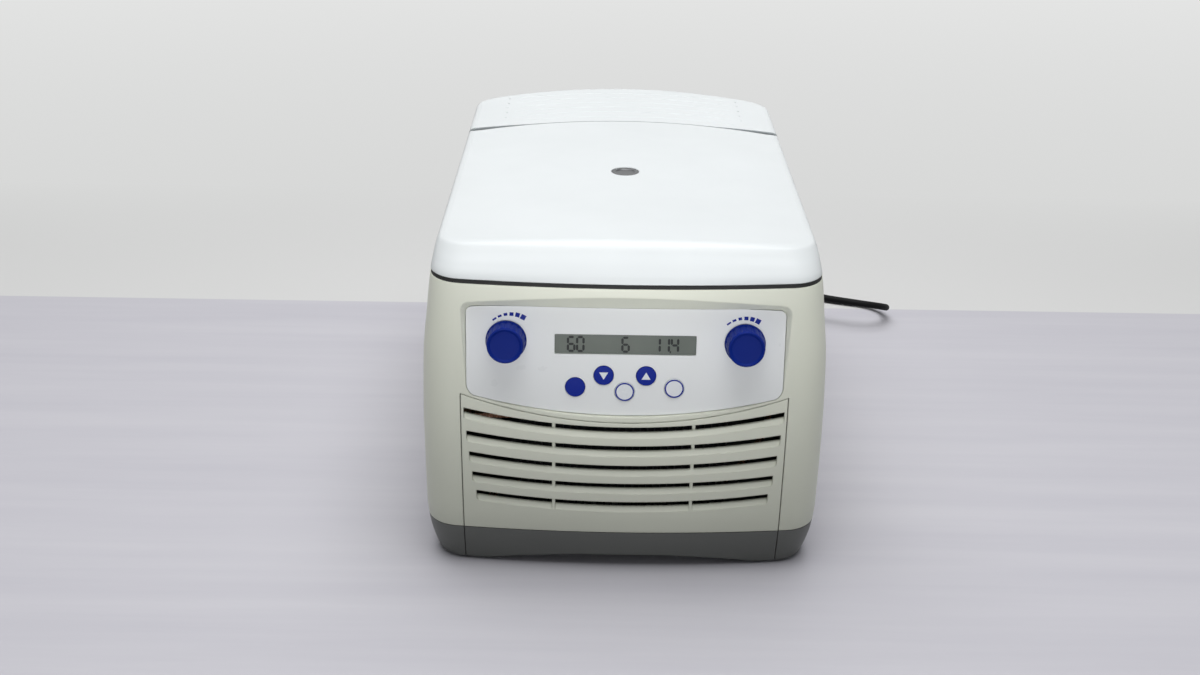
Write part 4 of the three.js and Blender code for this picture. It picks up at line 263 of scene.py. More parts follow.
def combine(first, operation, tools):
    for tool in tools:
        m = first.modifiers.new("work", "BOOLEAN")
        m.operation = operation
        m.object = tool
        m.solver = "MANIFOLD"
    bpy.context.view_layer.update()
    graph = bpy.context.evaluated_depsgraph_get()
    mesh = bpy.data.meshes.new_from_object(first.evaluated_get(graph))
    first.modifiers.clear()
    old = first.data
    first.data = mesh
    bpy.data.meshes.remove(old)
    drop(*tools)
    return first


def join(first, *others):
    return combine(first, "UNION", others)


def cut(first, *tools):
    return combine(first, "DIFFERENCE", tools)


def common(first, *others):
    return combine(first, "INTERSECT", others)


def merged(parts):
    """Several separate work objects as one."""
    verts, faces = [], []
    for o in parts:
        start = len(verts)
        verts += [tuple(v.co) for v in o.data.vertices]
        faces += [tuple(start + i for i in p.vertices) for p in o.data.polygons]
    drop(*parts)
    return new_object(verts, faces)


def loft(rings):
    """A solid through rings that each have a front and a rear half, from left to right."""
    count = len(rings[0][0])
    verts = []
    faces = []
    for front, rear in rings:
        verts += [*front, *reversed(rear)]
    around = 2 * count
    for level in range(len(rings) - 1):
        for i in range(around):
            a = level * around + i
            b = level * around + (i + 1) % around
            faces.append((a, b, b + around, a + around))
    top = (len(rings) - 1) * around
    for i in range(count - 1):
        j = around - 1 - i
        faces.append((i, j, j - 1, i + 1))
        faces.append((top + i, top + i + 1, top + j - 1, top + j))
    return new_object(verts, faces)


def casing(low, high, inset):
    """The casing's form between two levels, an inset within its skin."""
    levels = [low]
    for share in FINE[:, 0]:
        level = share * (HEIGHT - inset)
        if low + SMALL < level < high - SMALL and level > levels[-1] + 0.02:
            levels.append(level)
    levels.append(high)
    return loft([casing_ring(level, inset) for level in levels])


def box(x0, x1, y0, y1, z0, z1):
    verts = [(x, y, z) for x in (x0, x1) for y in (y0, y1) for z in (z0, z1)]
    faces = [(0, 1, 3, 2), (4, 6, 7, 5), (0, 4, 5, 1), (2, 3, 7, 6), (0, 2, 6, 4), (1, 5, 7, 3)]
    return new_object(verts, faces)


def slab(half_x, y0, y1, z0, z1):
    return box(-half_x, half_x, y0, y1, z0, z1)


def in_front_of(y):
    return slab(FAR, -FAR, y, -FAR, FAR)


def behind(y):
    return slab(FAR, y, FAR, -FAR, FAR)


def from_top(u, v, w):
    return (u, v, w)


def from_front(u, v, w):
    return (u, -w, v)


def from_rear(u, v, w):
    return (u, w, v)


def from_side(u, v, w):
    return (w, u, v)


PANEL_UP = (0, math.sin(PANEL_LEAN), math.cos(PANEL_LEAN))
PANEL_OUT = (0, -math.cos(PANEL_LEAN), math.sin(PANEL_LEAN))


def on_panel(u, v, w):
    """A place across and up the panel's face from its foot, and out from that face."""
    return (
        u,
        PANEL_FOOT[1] + v * PANEL_UP[1] + w * PANEL_OUT[1],
        PANEL_FOOT[2] + v * PANEL_UP[2] + w * PANEL_OUT[2],
    )


def flared(near_outline, far_outline, near, far, place):
    """A solid between two outlines that have the same number of points."""
    verts = [place(u, v, near) for u, v in near_outline] + [place(u, v, far) for u, v in far_outline]
    n = len(near_outline)
    faces = [tuple(range(n)), tuple(range(2 * n - 1, n - 1, -1))]
    faces += [(i, (i + 1) % n, n + (i + 1) % n, n + i) for i in range(n)]
    return new_object(verts, faces)


def prism(outline, near, far, place):
    return flared(outline, outline, near, far, place)


def turned(profile, segments, x, y, place=from_top):
    """A closed or axis-ended profile of (radius, height) turned about a third axis."""
    points = list(profile)
    closed = points[0] == points[-1] or points[0][0] > 0
    if points[0] == points[-1]:
        points = points[:-1]
    verts = []
    for radius, height in points:
        verts += [place(u, v, height) for u, v in circle(x, y, radius, segments)]
    faces = []
    for i in range(len(points) if closed else len(points) - 1):
        j = (i + 1) % len(points)
        if points[i][0] == 0 and points[j][0] == 0:
            continue
        for k in range(segments):
            m = (k + 1) % segments
            faces.append((i * segments + k, i * segments + m, j * segments + m, j * segments + k))
    return new_object(verts, faces, pointed=True)


def disc(radius, low, high):
    return [(0, low), (radius, low), (radius, high), (0, high)]


def ring(inner, outer, low, high):
    return [(inner, low), (outer, low), (outer, high), (inner, high), (inner, low)]


def rounded(profile, radius, steps=4):
    """A profile with its inner corners rounded."""
    points = [np.array(p, float) for p in profile]
    out = [tuple(points[0])]
    for a, b, c in zip(points[:-2], points[1:-1], points[2:]):
        u, v = a - b, c - b
        lu, lv = np.linalg.norm(u), np.linalg.norm(v)
        u, v = u / lu, v / lv
        angle = math.acos(max(-1, min(1, float(u @ v))))
        if angle > math.pi - 0.05:
            out.append(tuple(b))
            continue
        back = min(radius / math.tan(angle / 2), lu / 2.05, lv / 2.05)
        p, q = b + u * back, b + v * back
        for t in np.linspace(0, 1, steps + 1):
            out.append(tuple((1 - t) ** 2 * p + 2 * t * (1 - t) * b + t**2 * q))
    out.append(tuple(points[-1]))
    return out


def plain_block(x, y, half_x, half_y, near, far, place):
    corners = ((-1, -1), (1, -1), (1, 1), (-1, 1))
    return prism([(x + sx * half_x, y + sy * half_y) for sx, sy in corners], near, far, place)


def rounded_block(x, y, half_x, half_y, radius, near, far, place, steps):
    outline = []
    for k, (sx, sy) in enumerate(((1, 1), (-1, 1), (-1, -1), (1, -1))):
        centre = (x + sx * (half_x - radius), y + sy * (half_y - radius))
        outline += arc(*centre, radius, k * RIGHT_ANGLE, (k + 1) * RIGHT_ANGLE, steps)
    return prism(outline, near, far, place)


SMOOTH_ANGLE, KEPT_ANGLE = 32, 40
FINE_ROUND, ROUND = 128, 72


def placed(o, name, body, nodes, material, angle=SMOOTH_ANGLE):
    """Turns a work object into a finished piece of the shared frame."""
    WORK.remove(o)
    mesh = o.data
    for v in mesh.vertices:
        v.co = at(*v.co)
    b = bmesh.new()
    b.from_mesh(mesh)
    bmesh.ops.remove_doubles(b, verts=b.verts, dist=2e-6)
    bmesh.ops.dissolve_degenerate(b, dist=2e-6, edges=b.edges)
    for e in b.edges:
        e.smooth = len(e.link_faces) == 2 and e.calc_face_angle(0) <= math.radians(angle)
    for f in b.faces:
        f.smooth = True
    b.to_mesh(mesh)
    b.free()
    mesh.name = name
    o.name = name
    mesh.materials.clear()
    mesh.materials.append(material)
    m = o.modifiers.new("normals", "WEIGHTED_NORMAL")
    m.keep_sharp = True
    m.weight = 60
    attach(o, body)
    if nodes:
        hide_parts(nodes)
    return o


# Materials


def fill(tree, node, values):
    """Sets a node's inputs by name or number, each to a value or to a node's output."""
    for name, value in values.items():
        socket = node.inputs[name]
        if isinstance(value, bpy.types.NodeSocket):
            tree.links.new(value, socket)
        elif socket.type == "RGBA":
            socket.default_value = (*value, 1)
        else:
            socket.default_value = value


def new_node(tree, kind, values, **settings):
    node = tree.nodes.new("ShaderNode" + kind)
    for name, value in settings.items():
        setattr(node, name, value)
    fill(tree, node, values)
    return node


def new_material(name):
    m = bpy.data.materials.new(name)
    m.use_nodes = True
    tree = m.node_tree
    tree.nodes.clear()
    shader = new_node(tree, "BsdfPrincipled", {})
    new_node(tree, "OutputMaterial", {"Surface": shader.outputs[0]})
    return m, tree, shader


def object_place(tree):
    return new_node(tree, "TexCoord", {}).outputs["Object"]


def noise(tree, scale, detail=4.0, rough=0.55, stretch=(1, 1, 1)):
    mapping = new_node(tree, "Mapping", {"Vector": object_place(tree), "Scale": stretch})
    values = {"Vector": mapping.outputs[0], "Scale": scale, "Detail": detail, "Roughness": rough}
    return new_node(tree, "TexNoise", values).outputs[0]


def ranged(tree, value, low, high, start=0.0, end=1.0):
    values = {"Value": value, "From Min": start, "From Max": end, "To Min": low, "To Max": high}
    return new_node(tree, "MapRange", values).outputs[0]


def mixed(tree, factor, first, second):
    """A mix of two colours, each a colour or a node's output."""
    return new_node(tree, "Mix", {0: factor, 6: first, 7: second}, data_type="RGBA").outputs[2]


def bumped(tree, shader, height, distance, strength, bevel=0.0):
    bump = new_node(tree, "Bump", {"Distance": distance, "Strength": strength, "Height": height})
    if bevel:
        edge = new_node(tree, "Bevel", {"Radius": bevel}, samples=4)
        fill(tree, bump, {"Normal": edge.outputs[0]})
    fill(tree, shader, {"Normal": bump.outputs[0]})


def shade(color, k):
    return tuple(min(1.0, v * k) for v in color)


def moulded(
    name, color, roughness, grain=0.00003, grain_scale=2600, bevel=0.0006, vary=0.03, gloss=0.42
):
    """Moulded plastic: a fine grain, slow colour drift and faint handling marks."""
    m, tree, shader = new_material(name)
    drift = ranged(tree, noise(tree, 7.0, 3.0), 0, 1, 0.3, 0.7)
    smears = noise(tree, 34.0, 5.0, 0.6)
    fill(tree, shader, {
        "Base Color": mixed(tree, drift, shade(color, 1 - vary), shade(color, 1 + vary)),
        "Roughness": ranged(tree, smears, roughness - 0.05, roughness + 0.07, 0.3, 0.7),
        "Specular IOR Level": gloss,
    })
    bumped(tree, shader, noise(tree, grain_scale, 2.0), grain, 0.6, bevel)
    return m


def metal(name, color, roughness, stretch=(1, 1, 1), scale=900):
    m, tree, shader = new_material(name)
    streak = noise(tree, scale, 3.0, 0.6, stretch)
    fill(tree, shader, {
        "Metallic": 1,
        "Base Color": mixed(tree, streak, shade(color, 0.88), shade(color, 1.06)),
        "Roughness": ranged(tree, streak, roughness - 0.06, roughness + 0.1),
    })
    bumped(tree, shader, streak, 0.00002, 0.5, 0.0004)
    return m


def turned_metal(name, color, roughness):
    """Metal with the fine rings that a lathe leaves about the chamber's upright axis."""
    m, tree, shader = new_material(name)
    axis = (*at(0, CHAMBER_Y, 0)[:2], 0)
    offset = new_node(tree, "VectorMath", {0: object_place(tree), 1: axis}, operation="SUBTRACT")
    values = {"Vector": offset.outputs[0], "Scale": 420, "Distortion": 0.4, "Detail": 1}
    rings = new_node(tree, "TexWave", values, wave_type="RINGS", rings_direction="Z").outputs[1]
    wear = noise(tree, 45, 4)
    fill(tree, shader, {
        "Metallic": 1,
        "Base Color": mixed(tree, wear, shade(color, 0.9), shade(color, 1.05)),
        "Roughness": ranged(tree, rings, roughness - 0.05, roughness + 0.08),
    })
    bumped(tree, shader, rings, 0.00001, 0.35, 0.0004)
    return m


def rubbery(name, color, roughness, gloss=0.3):
    m, tree, shader = new_material(name)
    dust = noise(tree, 60, 5)
    fill(tree, shader, {
        "Base Color": mixed(tree, ranged(tree, dust, 0, 1, 0.35, 0.8), color, shade(color, 1.8)),
        "Roughness": ranged(tree, dust, roughness - 0.05, roughness + 0.12),
        "Specular IOR Level": gloss,
    })
    bumped(tree, shader, noise(tree, 1800, 3), 0.00004, 0.6, 0.0004)
    return m


def glassy_display(name):
    """The display's grey-green liquid crystal under its clear cover."""
    m, tree, shader = new_material(name)
    cloud = noise(tree, 30, 3)
    spread = ranged(tree, cloud, 0, 1, 0.3, 0.7)
    fill(tree, shader, {
        "Base Color": mixed(tree, spread, (0.078, 0.098, 0.08), (0.10, 0.12, 0.10)),
        "Roughness": ranged(tree, cloud, 0.28, 0.36),
        "Coat Weight": 0.15,
        "Coat Roughness": 0.12,
    })
    bumped(tree, shader, noise(tree, 3000, 1), 0.00001, 0.2)
    return m


def dark_pane(name):
    m, tree, shader = new_material(name)
    haze = noise(tree, 90, 4)
    fill(tree, shader, {
        "Base Color": mixed(tree, haze, (0.035, 0.037, 0.042), (0.05, 0.052, 0.058)),
        "Roughness": ranged(tree, haze, 0.12, 0.24),
        "IOR": 1.5,
        "Coat Weight": 0.2,
        "Coat Roughness": 0.06,
    })
    bumped(tree, shader, noise(tree, 60, 2), 0.00005, 0.2, 0.0005)
    return m


def foamed(name, color):
    m, tree, shader = new_material(name)
    cells = new_node(tree, "TexVoronoi", {"Vector": object_place(tree), "Scale": 600}).outputs[0]
    fill(tree, shader, {"Base Color": mixed(tree, cells, shade(color, 0.85), color), "Roughness": 0.95})
    bumped(tree, shader, cells, 0.0003, 0.6)
    return m


def board(name):
    m, tree, shader = new_material(name)
    cells = new_node(tree, "TexBrick", {
        "Vector": object_place(tree),
        "Scale": 90,
        "Color1": (0.02, 0.10, 0.04),
        "Color2": (0.03, 0.13, 0.05),
        "Mortar": (0.10, 0.22, 0.08),
        "Mortar Size": 0.02,
    })
    fill(tree, shader, {"Base Color": cells.outputs[0], "Roughness": 0.45})
    bumped(tree, shader, cells.outputs[1], 0.00005, 0.4)
    return m


# Grain depths and edge radii are in metres here, as Blender's own sizes are.
MATERIALS = {
    "base_grey": moulded("base_grey_moulding", (0.155, 0.160, 0.155), 0.42, 0.00006, 1900),
    "front_cream": moulded("cream_moulding", (0.795, 0.815, 0.71), 0.38, 0.00003, 2400, 0.0014),
    "lid_white": moulded("lid_moulding", (0.675, 0.705, 0.715), 0.34, 0.00002, 2400, 0.0008),
    "liner_white": moulded("liner_moulding", (0.76, 0.79, 0.79), 0.45, 0.00005, 1700),
    "panel_white": moulded("panel_foil", (0.81, 0.83, 0.84), 0.32, 0.00002, 2800, 0.0003),
    "sheet_grey": moulded("powder_coat", (0.56, 0.57, 0.54), 0.5, 0.00008, 1400),
    "knob_blue": moulded(
        "knob_moulding", (0.0005, 0.014, 0.185), 0.45, 0.00003, 2400, 0.0006, 0.06, 0.1
    ),
    "key_blue": moulded("blue_key", (0.003, 0.018, 0.27), 0.4, 0.00001, 3000, 0.0003, 0.05, 0.12),
    "key_white": moulded("white_key", (0.76, 0.79, 0.83), 0.3, 0.00001, 3000, 0.0003),
    "display": glassy_display("liquid_crystal"),
    "dark_glass": dark_pane("tinted_pane"),
    "black_plastic": moulded(
        "black_moulding", (0.018, 0.018, 0.019), 0.42, 0.00004, 1800, 0.0004, 0.1
    ),
    "rubber": rubbery("black_rubber", (0.016, 0.016, 0.016), 0.65),
    "cord_black": rubbery("cord_sheath", (0.004, 0.004, 0.0045), 0.55, 0.12),
    "circuit_board": board("circuit_board"),
    "steel": metal("bright_steel", (0.58, 0.59, 0.60), 0.28),
    "stainless": metal("brushed_stainless", (0.60, 0.61, 0.62), 0.3, (1, 1, 14), 260),
    "aluminium": turned_metal("turned_aluminium", (0.70, 0.72, 0.74), 0.32),
    "black_steel": moulded("black_enamel", (0.02, 0.021, 0.023), 0.3, 0.00004, 700, 0.0006, 0.1),
    "copper": metal("copper_tube", (0.80, 0.42, 0.27), 0.25, (1, 1, 1), 300),
    "foam": foamed("rigid_foam", (0.66, 0.60, 0.42)),
}

DIGIT_INK = moulded("digit_ink", (0.006, 0.009, 0.009), 0.6, 0.00001, 3000, 0, 0.1)
# Near-black paint on the condenser's fins and coil is painted shade: the louvre openings read dark like
# the shade inside the casing, and the copper coil shows no glints through them.
SHADE_BLACK_FINS = moulded("painted_shade_fins", (0.012, 0.012, 0.013), 0.6, 0.00006, 900, 0.0002, 0.2)

SLOT_OF = {row["node"]: row["material_slot"] for row in frame["record"]["subparts"]}
BODIES = frame["record"]["behaviour"]["bodies"]
BODY_OF = {member: body for body, members in BODIES.items() for member in members}
for node_name, node in frame["nodes"].items():
    # The condenser's fins and coil take the painted-shade black in place of their own finish.
    black = node_name in ("condenser_fins", "condenser_coil")
    node.data.materials.clear()
    node.data.materials.append(SHADE_BLACK_FINS if black else MATERIALS[SLOT_OF[node_name]])


def finished(o, name, node, angle=SMOOTH_ANGLE):
    slot = SLOT_OF[node]
    return placed(o, name, BODY_OF[node], node, MATERIALS[slot], angle)


# Lead: its line repeats the points of the CAD model

CORD_RADIUS = 3.5
REAR_FACE = DEPTH / 2 - 10.4 + 1.5
INLET_X, INLET_Z = 85.0, 64.0
INLET_FACE = REAR_FACE + FIT + 2
CONNECTOR_FACE = INLET_FACE + FIT
CONNECTOR_GRIP, CONNECTOR_RELIEF = 30, 26
CONNECTOR_END = CONNECTOR_FACE + CONNECTOR_GRIP + CONNECTOR_RELIEF
CONTACTS = ((-6.2, -3.4), (6.2, -3.4), (0, 3.4))
SOCKET_DEPTH, CONTACT_GAP = 15, 4
LEAD_ROUTE = [
    (5.3, 35.6, 63.1), (23.6, 52.3, 56.6), (56.4, 52.5, 48.4), (84.9, 36.9, 40.4),
    (106.2, 11.6, 33.5), (128, -13.3, 28.7), (146.9, -20.1, 28.3), (177, -29, 27.3),
    (195.2, -22.5, 22.4), (204.4, -6, 14.2), (198.8, 16.1, 6.6), (182.1, 29.5, 4.1),
    (167, 33.4, 3.8), (143, 42, 3.7), (110, 60, 3.7), (70, 81, 3.7), (25, 97, 3.7),
]
COIL_X, COIL_INNER, COIL_PITCH, COIL_LAYER, COIL_TURNS, COIL_STEPS = 20.0, 28.2, 7.7, 7.6, 5, 24
COIL_OUTER = COIL_INNER + COIL_TURNS / 2 * COIL_PITCH
COIL_Y = DEPTH / 2 + 105
COIL_SIDE = COIL_Y + COIL_OUTER
COIL_LOW = CORD_RADIUS + 0.2
COIL_END = 2 * CORD_RADIUS


def between(t, start, end, first, second):
    return (end - t) / (end - start) * first + (t - start) / (end - start) * second


def through(points, count):
    """Even points along a centripetal Catmull-Rom curve through given ones."""
    p = [np.array(q, float) for q in points]
    p = [2 * p[0] - p[1], *p, 2 * p[-1] - p[-2]]
    out = []
    for i in range(1, len(p) - 2):
        p0, p1, p2, p3 = p[i - 1 : i + 3]
        steps = [max(np.linalg.norm(b - a), 1e-9) ** 0.5 for a, b in ((p0, p1), (p1, p2), (p2, p3))]
        t0, t1, t2, t3 = 0.0, *np.cumsum(steps)
        for t in np.linspace(t1, t2, 40, endpoint=False):
            a2 = between(t, t1, t2, p1, p2)
            b1 = between(t, t0, t2, between(t, t0, t1, p0, p1), a2)
            b2 = between(t, t1, t3, a2, between(t, t2, t3, p2, p3))
            out.append(between(t, t1, t2, b1, b2))
    out.append(p[-2])
    line = np.array(out)
    length = np.concatenate([[0], np.cumsum(np.linalg.norm(np.diff(line, axis=0), axis=1))])
    even = np.linspace(0, length[-1], count)
    return np.stack([np.interp(even, length, line[:, c]) for c in range(3)], axis=1), length[-1]


def lead_points():
    last = COIL_X + COIL_END + FIT
    route = [
        (INLET_X, CONNECTOR_END + FIT, INLET_Z),
        (INLET_X, CONNECTOR_END + 4 * CORD_RADIUS, INLET_Z),
        *[(INLET_X + x, CONNECTOR_END + y, z) for x, y, z in LEAD_ROUTE],
        (last + 2 * COIL_END, COIL_SIDE, COIL_LOW),
        (last, COIL_SIDE, COIL_LOW),
    ]
    return through(route, 40)


def coil_points():
    points = [(COIL_X + COIL_END, COIL_SIDE, COIL_LOW)]
    for i in range(COIL_TURNS * COIL_STEPS + 1):
        turn = i / COIL_STEPS
        middle = turn - COIL_TURNS / 2
        angle = RIGHT_ANGLE + 2 * math.pi * turn
        radius = COIL_INNER + COIL_PITCH * abs(middle)
        u = min(max((middle + 0.25) / 0.5, 0), 1)
        climb = u * u * (3 - 2 * u)
        points.append((
            COIL_X + radius * math.cos(angle),
            COIL_Y + radius * math.sin(angle),
            COIL_LOW + COIL_LAYER * climb,
        ))
    points.append((COIL_X - COIL_END, COIL_SIDE, COIL_LOW + COIL_LAYER))
    length = sum(math.dist(a, b) for a, b in zip(points, points[1:]))
    return points, length


def cord_piece(name, node, points):
    data = bpy.data.curves.new(name, "CURVE")
    data.dimensions = "3D"
    spline = data.splines.new("NURBS")
    spline.points.add(len(points) - 1)
    for p, q in zip(spline.points, points):
        p.co = (*at(*q), 1)
    spline.use_endpoint_u = True
    spline.order_u = 4
    spline.resolution_u = 8
    data.bevel_depth = CORD_RADIUS * METRE
    data.bevel_resolution = 5
    data.use_fill_caps = True
    data.materials.append(MATERIALS["cord_black"])
    o = bpy.data.objects.new(name, data)
    scene.collection.objects.link(o)
    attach(o, "housing")
    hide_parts(node)
    return o


def strain_relief(start, length, wide, ribs=5):
    """The profile of a cone with rings, down to the cord."""
    narrow, plain, groove, edge = CORD_RADIUS + FIT, 2, 0.7, 0.3
    profile = [(0, start), (wide, start)]
    pitch = (length - 2 * plain) / ribs
    for i in range(ribs):
        z = start + plain + i * pitch
        r = wide + (narrow - wide) * (i / ribs)
        inner = r - groove
        profile += [(r, z), (r, z + pitch * 0.6), (inner, z + pitch * 0.66), (inner, z + pitch * 0.94)]
    end = start + length
    return [*profile, (narrow, end - plain), (narrow - edge, end), (0, end)]


def rounded_ring(x, z, half_x, half_z, radius, y):
    """A rounded rectangle across Y as a lower and an upper half, from left to right."""
    quarter = arc(half_x - radius, half_z - radius, radius, 0, RIGHT_ANGLE, 5)
    upper = [(-u, w) for u, w in quarter] + quarter[::-1]
    return [(x + u, y, z - w) for u, w in upper], [(x + u, y, z + w) for u, w in upper]


def make_connector():
    # Share of the grip's length, then half its width and height there.
    grip = [
        (0, 13.4, 9.4), (0.03, 14, 10), (0.3, 14, 10), (0.45, 13.7, 9.9),
        (0.6, 12.8, 9.6), (0.75, 11.2, 9.2), (0.9, 9.2, 8.3), (1, 7.7, 7.5),
    ]
    body = loft([
        rounded_ring(INLET_X, INLET_Z, half_x, half_z, 4, CONNECTOR_FACE + share * CONNECTOR_GRIP)
        for share, half_x, half_z in grip
    ])
    tip = INLET_FACE - SOCKET_DEPTH + 0.4
    nose = loft([
        rounded_ring(INLET_X, INLET_Z, half_x, half_z, 2.5, y)
        for half_x, half_z, y in ((11.2, 7.2, tip), (12, 8, tip + 1), (12, 8, CONNECTOR_FACE + SMALL))
    ])
    holes = [
        box(x - 1.3, x + 1.3, tip - 1, INLET_FACE - CONTACT_GAP + FIT, z - 1.8, z + 1.8)
        for x, z in ((INLET_X + dx, INLET_Z + dz) for dx, dz in CONTACTS)
    ]
    relief = strain_relief(CONNECTOR_FACE + CONNECTOR_GRIP - SMALL, CONNECTOR_RELIEF, 6.5)
    tail = turned(relief, 32, INLET_X, INLET_Z, from_rear)
    return finished(join(cut(nose, *holes), body, tail), "lead_connector", "cord_connector")


def make_plug():
    level = COIL_LOW + COIL_LAYER
    start = COIL_X - COIL_END - FIT
    relief, grip, grip_half, prongs = 24, 36, 15, 18
    face = relief + grip - SMALL

    def lying(u, v, w):
        return (start - w, COIL_SIDE + u, level + v)

    # Shares of the grip's length, half width and half height.
    shares = [
        (0, 0.56, 0.62), (0.06, 0.68, 0.76), (0.2, 0.85, 0.92), (0.45, 0.97, 0.98), (0.9, 1, 1),
        (1, 0.96, 0.96),
    ]
    rings = []
    for place, wide, high in shares:
        x = start - relief - place * grip
        halves = rounded_ring(COIL_SIDE, level, grip_half * wide, level * high, 5, x)
        rings.append([[(x, y, z) for y, _, z in half] for half in halves])
    length = relief + SMALL
    tail = [(r, length - h) for r, h in reversed(strain_relief(0, length, 5.5))]
    end = face + prongs + SMALL
    parts = [turned(tail, 32, 0, 0, lying)]
    parts += [plain_block(side * 6.4, 4.4, 0.8, 3.2, face, end, lying) for side in SIDES]
    parts.append(prism(circle(0, -7.2, 2.4, 24), face, end, lying))
    return finished(join(loft(rings), *parts), "lead_plug", "mains_plug")


def make_lead():
    points, length = lead_points()
    lead = cord_piece("mains_lead", "power_cord", points)
    turns, wound = coil_points()
    coil = cord_piece("lead_coil", "cord_coil", turns)
    connector = make_connector()
    plug = make_plug()


# Lid, rear cover and the pieces of the chamber

LID_WALL, LUG_HALF, SWING_ROOM, PIN_SEAT = 3, 124, 0.8, 4
SEAM_REACH, SEAM_BOW, SEAM_HALF = 19.3, 17.6, 135
GLASS_SINK, GLASS_EDGE, GLASS_RADIUS, GLASS_BORE = 0.4, 1.5, 11, 9
SEAL_RADIUS, SEAL_HALF = CHAMBER_RADIUS + 3.5, 2.5
LINER_LOW = LID_BOTTOM + 3
BOWL_TOP = CASING_TOP + FIT + BOWL_WALL


def top_at(x):
    return HEIGHT - CROWN * (x / HALF_WIDTH) ** 2


def seam_at(x):
    """The seam between the lid and the rear cover."""
    return HINGE_Y + SEAM_REACH - SEAM_BOW * (x / SEAM_HALF) ** 2


def seam_radius(x):
    return math.hypot(seam_at(x) - HINGE_Y, top_at(x) - HINGE_Z)


def on_chamber(profile, segments):
    return turned(profile, segments, 0, CHAMBER_Y)


def about_hinge(radius_at, half_length):
    profile = [(0, -half_length)]
    profile += [(radius_at(x), x) for x in np.linspace(-half_length, half_length, 25)]
    profile += [(0, half_length)]
    return turned(profile, 96, HINGE_Y, HINGE_Z, from_side)


def hinge_round(offset, half_length):
    return about_hinge(lambda x: seam_radius(x) + offset, half_length)


def swept_by_lid(half_length):
    def radius(x):
        return SWING_ROOM + max(seam_radius(x), (top_at(x) - HINGE_Z) / math.cos(SWING / 2))

    return about_hinge(radius, half_length)


def lid_cover():
    barrel = seam_radius(0)
    near, front, rear = HINGE_Y - barrel, HINGE_Y - barrel - OVERRUN, HINGE_Y + barrel + OVERRUN
    outer = join(
        common(casing(LID_BOTTOM, HEIGHT, 0), in_front_of(HINGE_Y)),
        common(casing(HINGE_Z - barrel - OVERRUN, HEIGHT, 0), hinge_round(0, HALF_WIDTH + OVERRUN)),
    )

    def room():
        return casing(HINGE_Z - 3 * OVERRUN, HEIGHT - LID_WALL, LID_WALL)

    clear = HINGE_Z + BOSS + SWING_ROOM
    ledge = HEIGHT - GLASS_SINK - GLASS_EDGE
    pin_end = LUG_INNER + PIN_LENGTH
    return cut(
        outer,
        common(room(), in_front_of(near)),
        common(room(), slab(LUG_INNER, front, HINGE_Y, -FAR, FAR)),
        slab(LUG_INNER, front, HINGE_Y, -FAR, LID_BOTTOM),
        common(hinge_round(-LID_WALL, LUG_HALF), room(), behind(HINGE_Y - SMALL)),
        slab(LUG_HALF, HINGE_Y - SMALL, rear, -FAR, HINGE_Z - PIN_SEAT),
        cut(
            slab(LUG_INNER, near, rear, -FAR, clear),
            slab(LUG_HALF, near, rear, -FAR - 1, clear + 1),
        ),
        prism(circle(HINGE_Y, HINGE_Z, PIN_RADIUS + FIT, 32), -pin_end, pin_end, from_side),
        on_chamber(disc(GLASS_BORE, 0, FAR), ROUND),
        on_chamber(disc(GLASS_RADIUS + FIT, ledge, FAR), ROUND),
    )


def sight_glass():
    thick, bend, rim, dish, dip = 3, 0.35, 2.8, 0.7, 0.2
    top = HEIGHT - GLASS_SINK
    low, step = top - thick, top - GLASS_EDGE + FIT
    plug, inner = GLASS_BORE - FIT, GLASS_RADIUS - rim
    # The face is sunk a little inside a rim.
    profile = [(0, low), (plug, low), (plug, step), (GLASS_RADIUS, step), (GLASS_RADIUS, top)]
    profile += [(inner, top), (inner - 1, top - dish), (0, top - dish - dip)]
    return on_chamber(rounded(profile, bend), ROUND)


def lid_liner():
    plate_wall, tube_wall, ridge, ridge_half, gap = 2.5, 1.8, 5, 5, 0.4
    top = LINER_LOW + plate_wall
    under = HEIGHT - LID_WALL - FIT - gap
    rear = HINGE_Y - seam_radius(0) - FIT

    def inside():
        form = casing(LID_BOTTOM, under, LID_WALL + FIT)
        return common(form, slab(FAR, -FAR, rear, LINER_LOW, FAR))

    plate = common(inside(), slab(FAR, -FAR, FAR, 0, top))
    plate = cut(plate, on_chamber(disc(GLASS_BORE + SMALL, 0, top + 1), ROUND))
    # A shallow pressed ring inside the seal.
    low, high = LINER_LOW - 1, LINER_LOW + 1.2
    groove = [(74, low), (80, low), (78.5, high), (75.5, high), (74, low)]
    plate = cut(plate, on_chamber(rounded(groove, 0.5), FINE_ROUND))
    tube = on_chamber(ring(GLASS_BORE, GLASS_BORE + tube_wall, LINER_LOW + SMALL, under), ROUND)
    stiff = ring(SEAL_RADIUS - ridge_half, SEAL_RADIUS + ridge_half, top - SMALL, top + ridge)
    return join(plate, tube, common(on_chamber(stiff, FINE_ROUND), inside()))


def lid_seal():
    inner, outer = SEAL_RADIUS - SEAL_HALF, SEAL_RADIUS + SEAL_HALF
    top, low = LINER_LOW - FIT, BOWL_TOP + FIT
    bulge = 1.3
    half_turn = np.linspace(math.pi, 2 * math.pi, 13)
    lip = [
        (SEAL_RADIUS + SEAL_HALF * math.cos(a), low + bulge + bulge * math.sin(a))
        for a in half_turn
    ]
    side = low + bulge + 0.3
    return on_chamber(
        [(inner, top), (inner, side), *lip, (outer, side), (outer, top), (inner, top)], FINE_ROUND
    )


GROOVES, FIRST_GROOVE, GROOVE_PITCH, GROOVE_END, DOT_X = 6, 109.8, 16.2, 104, 107.5


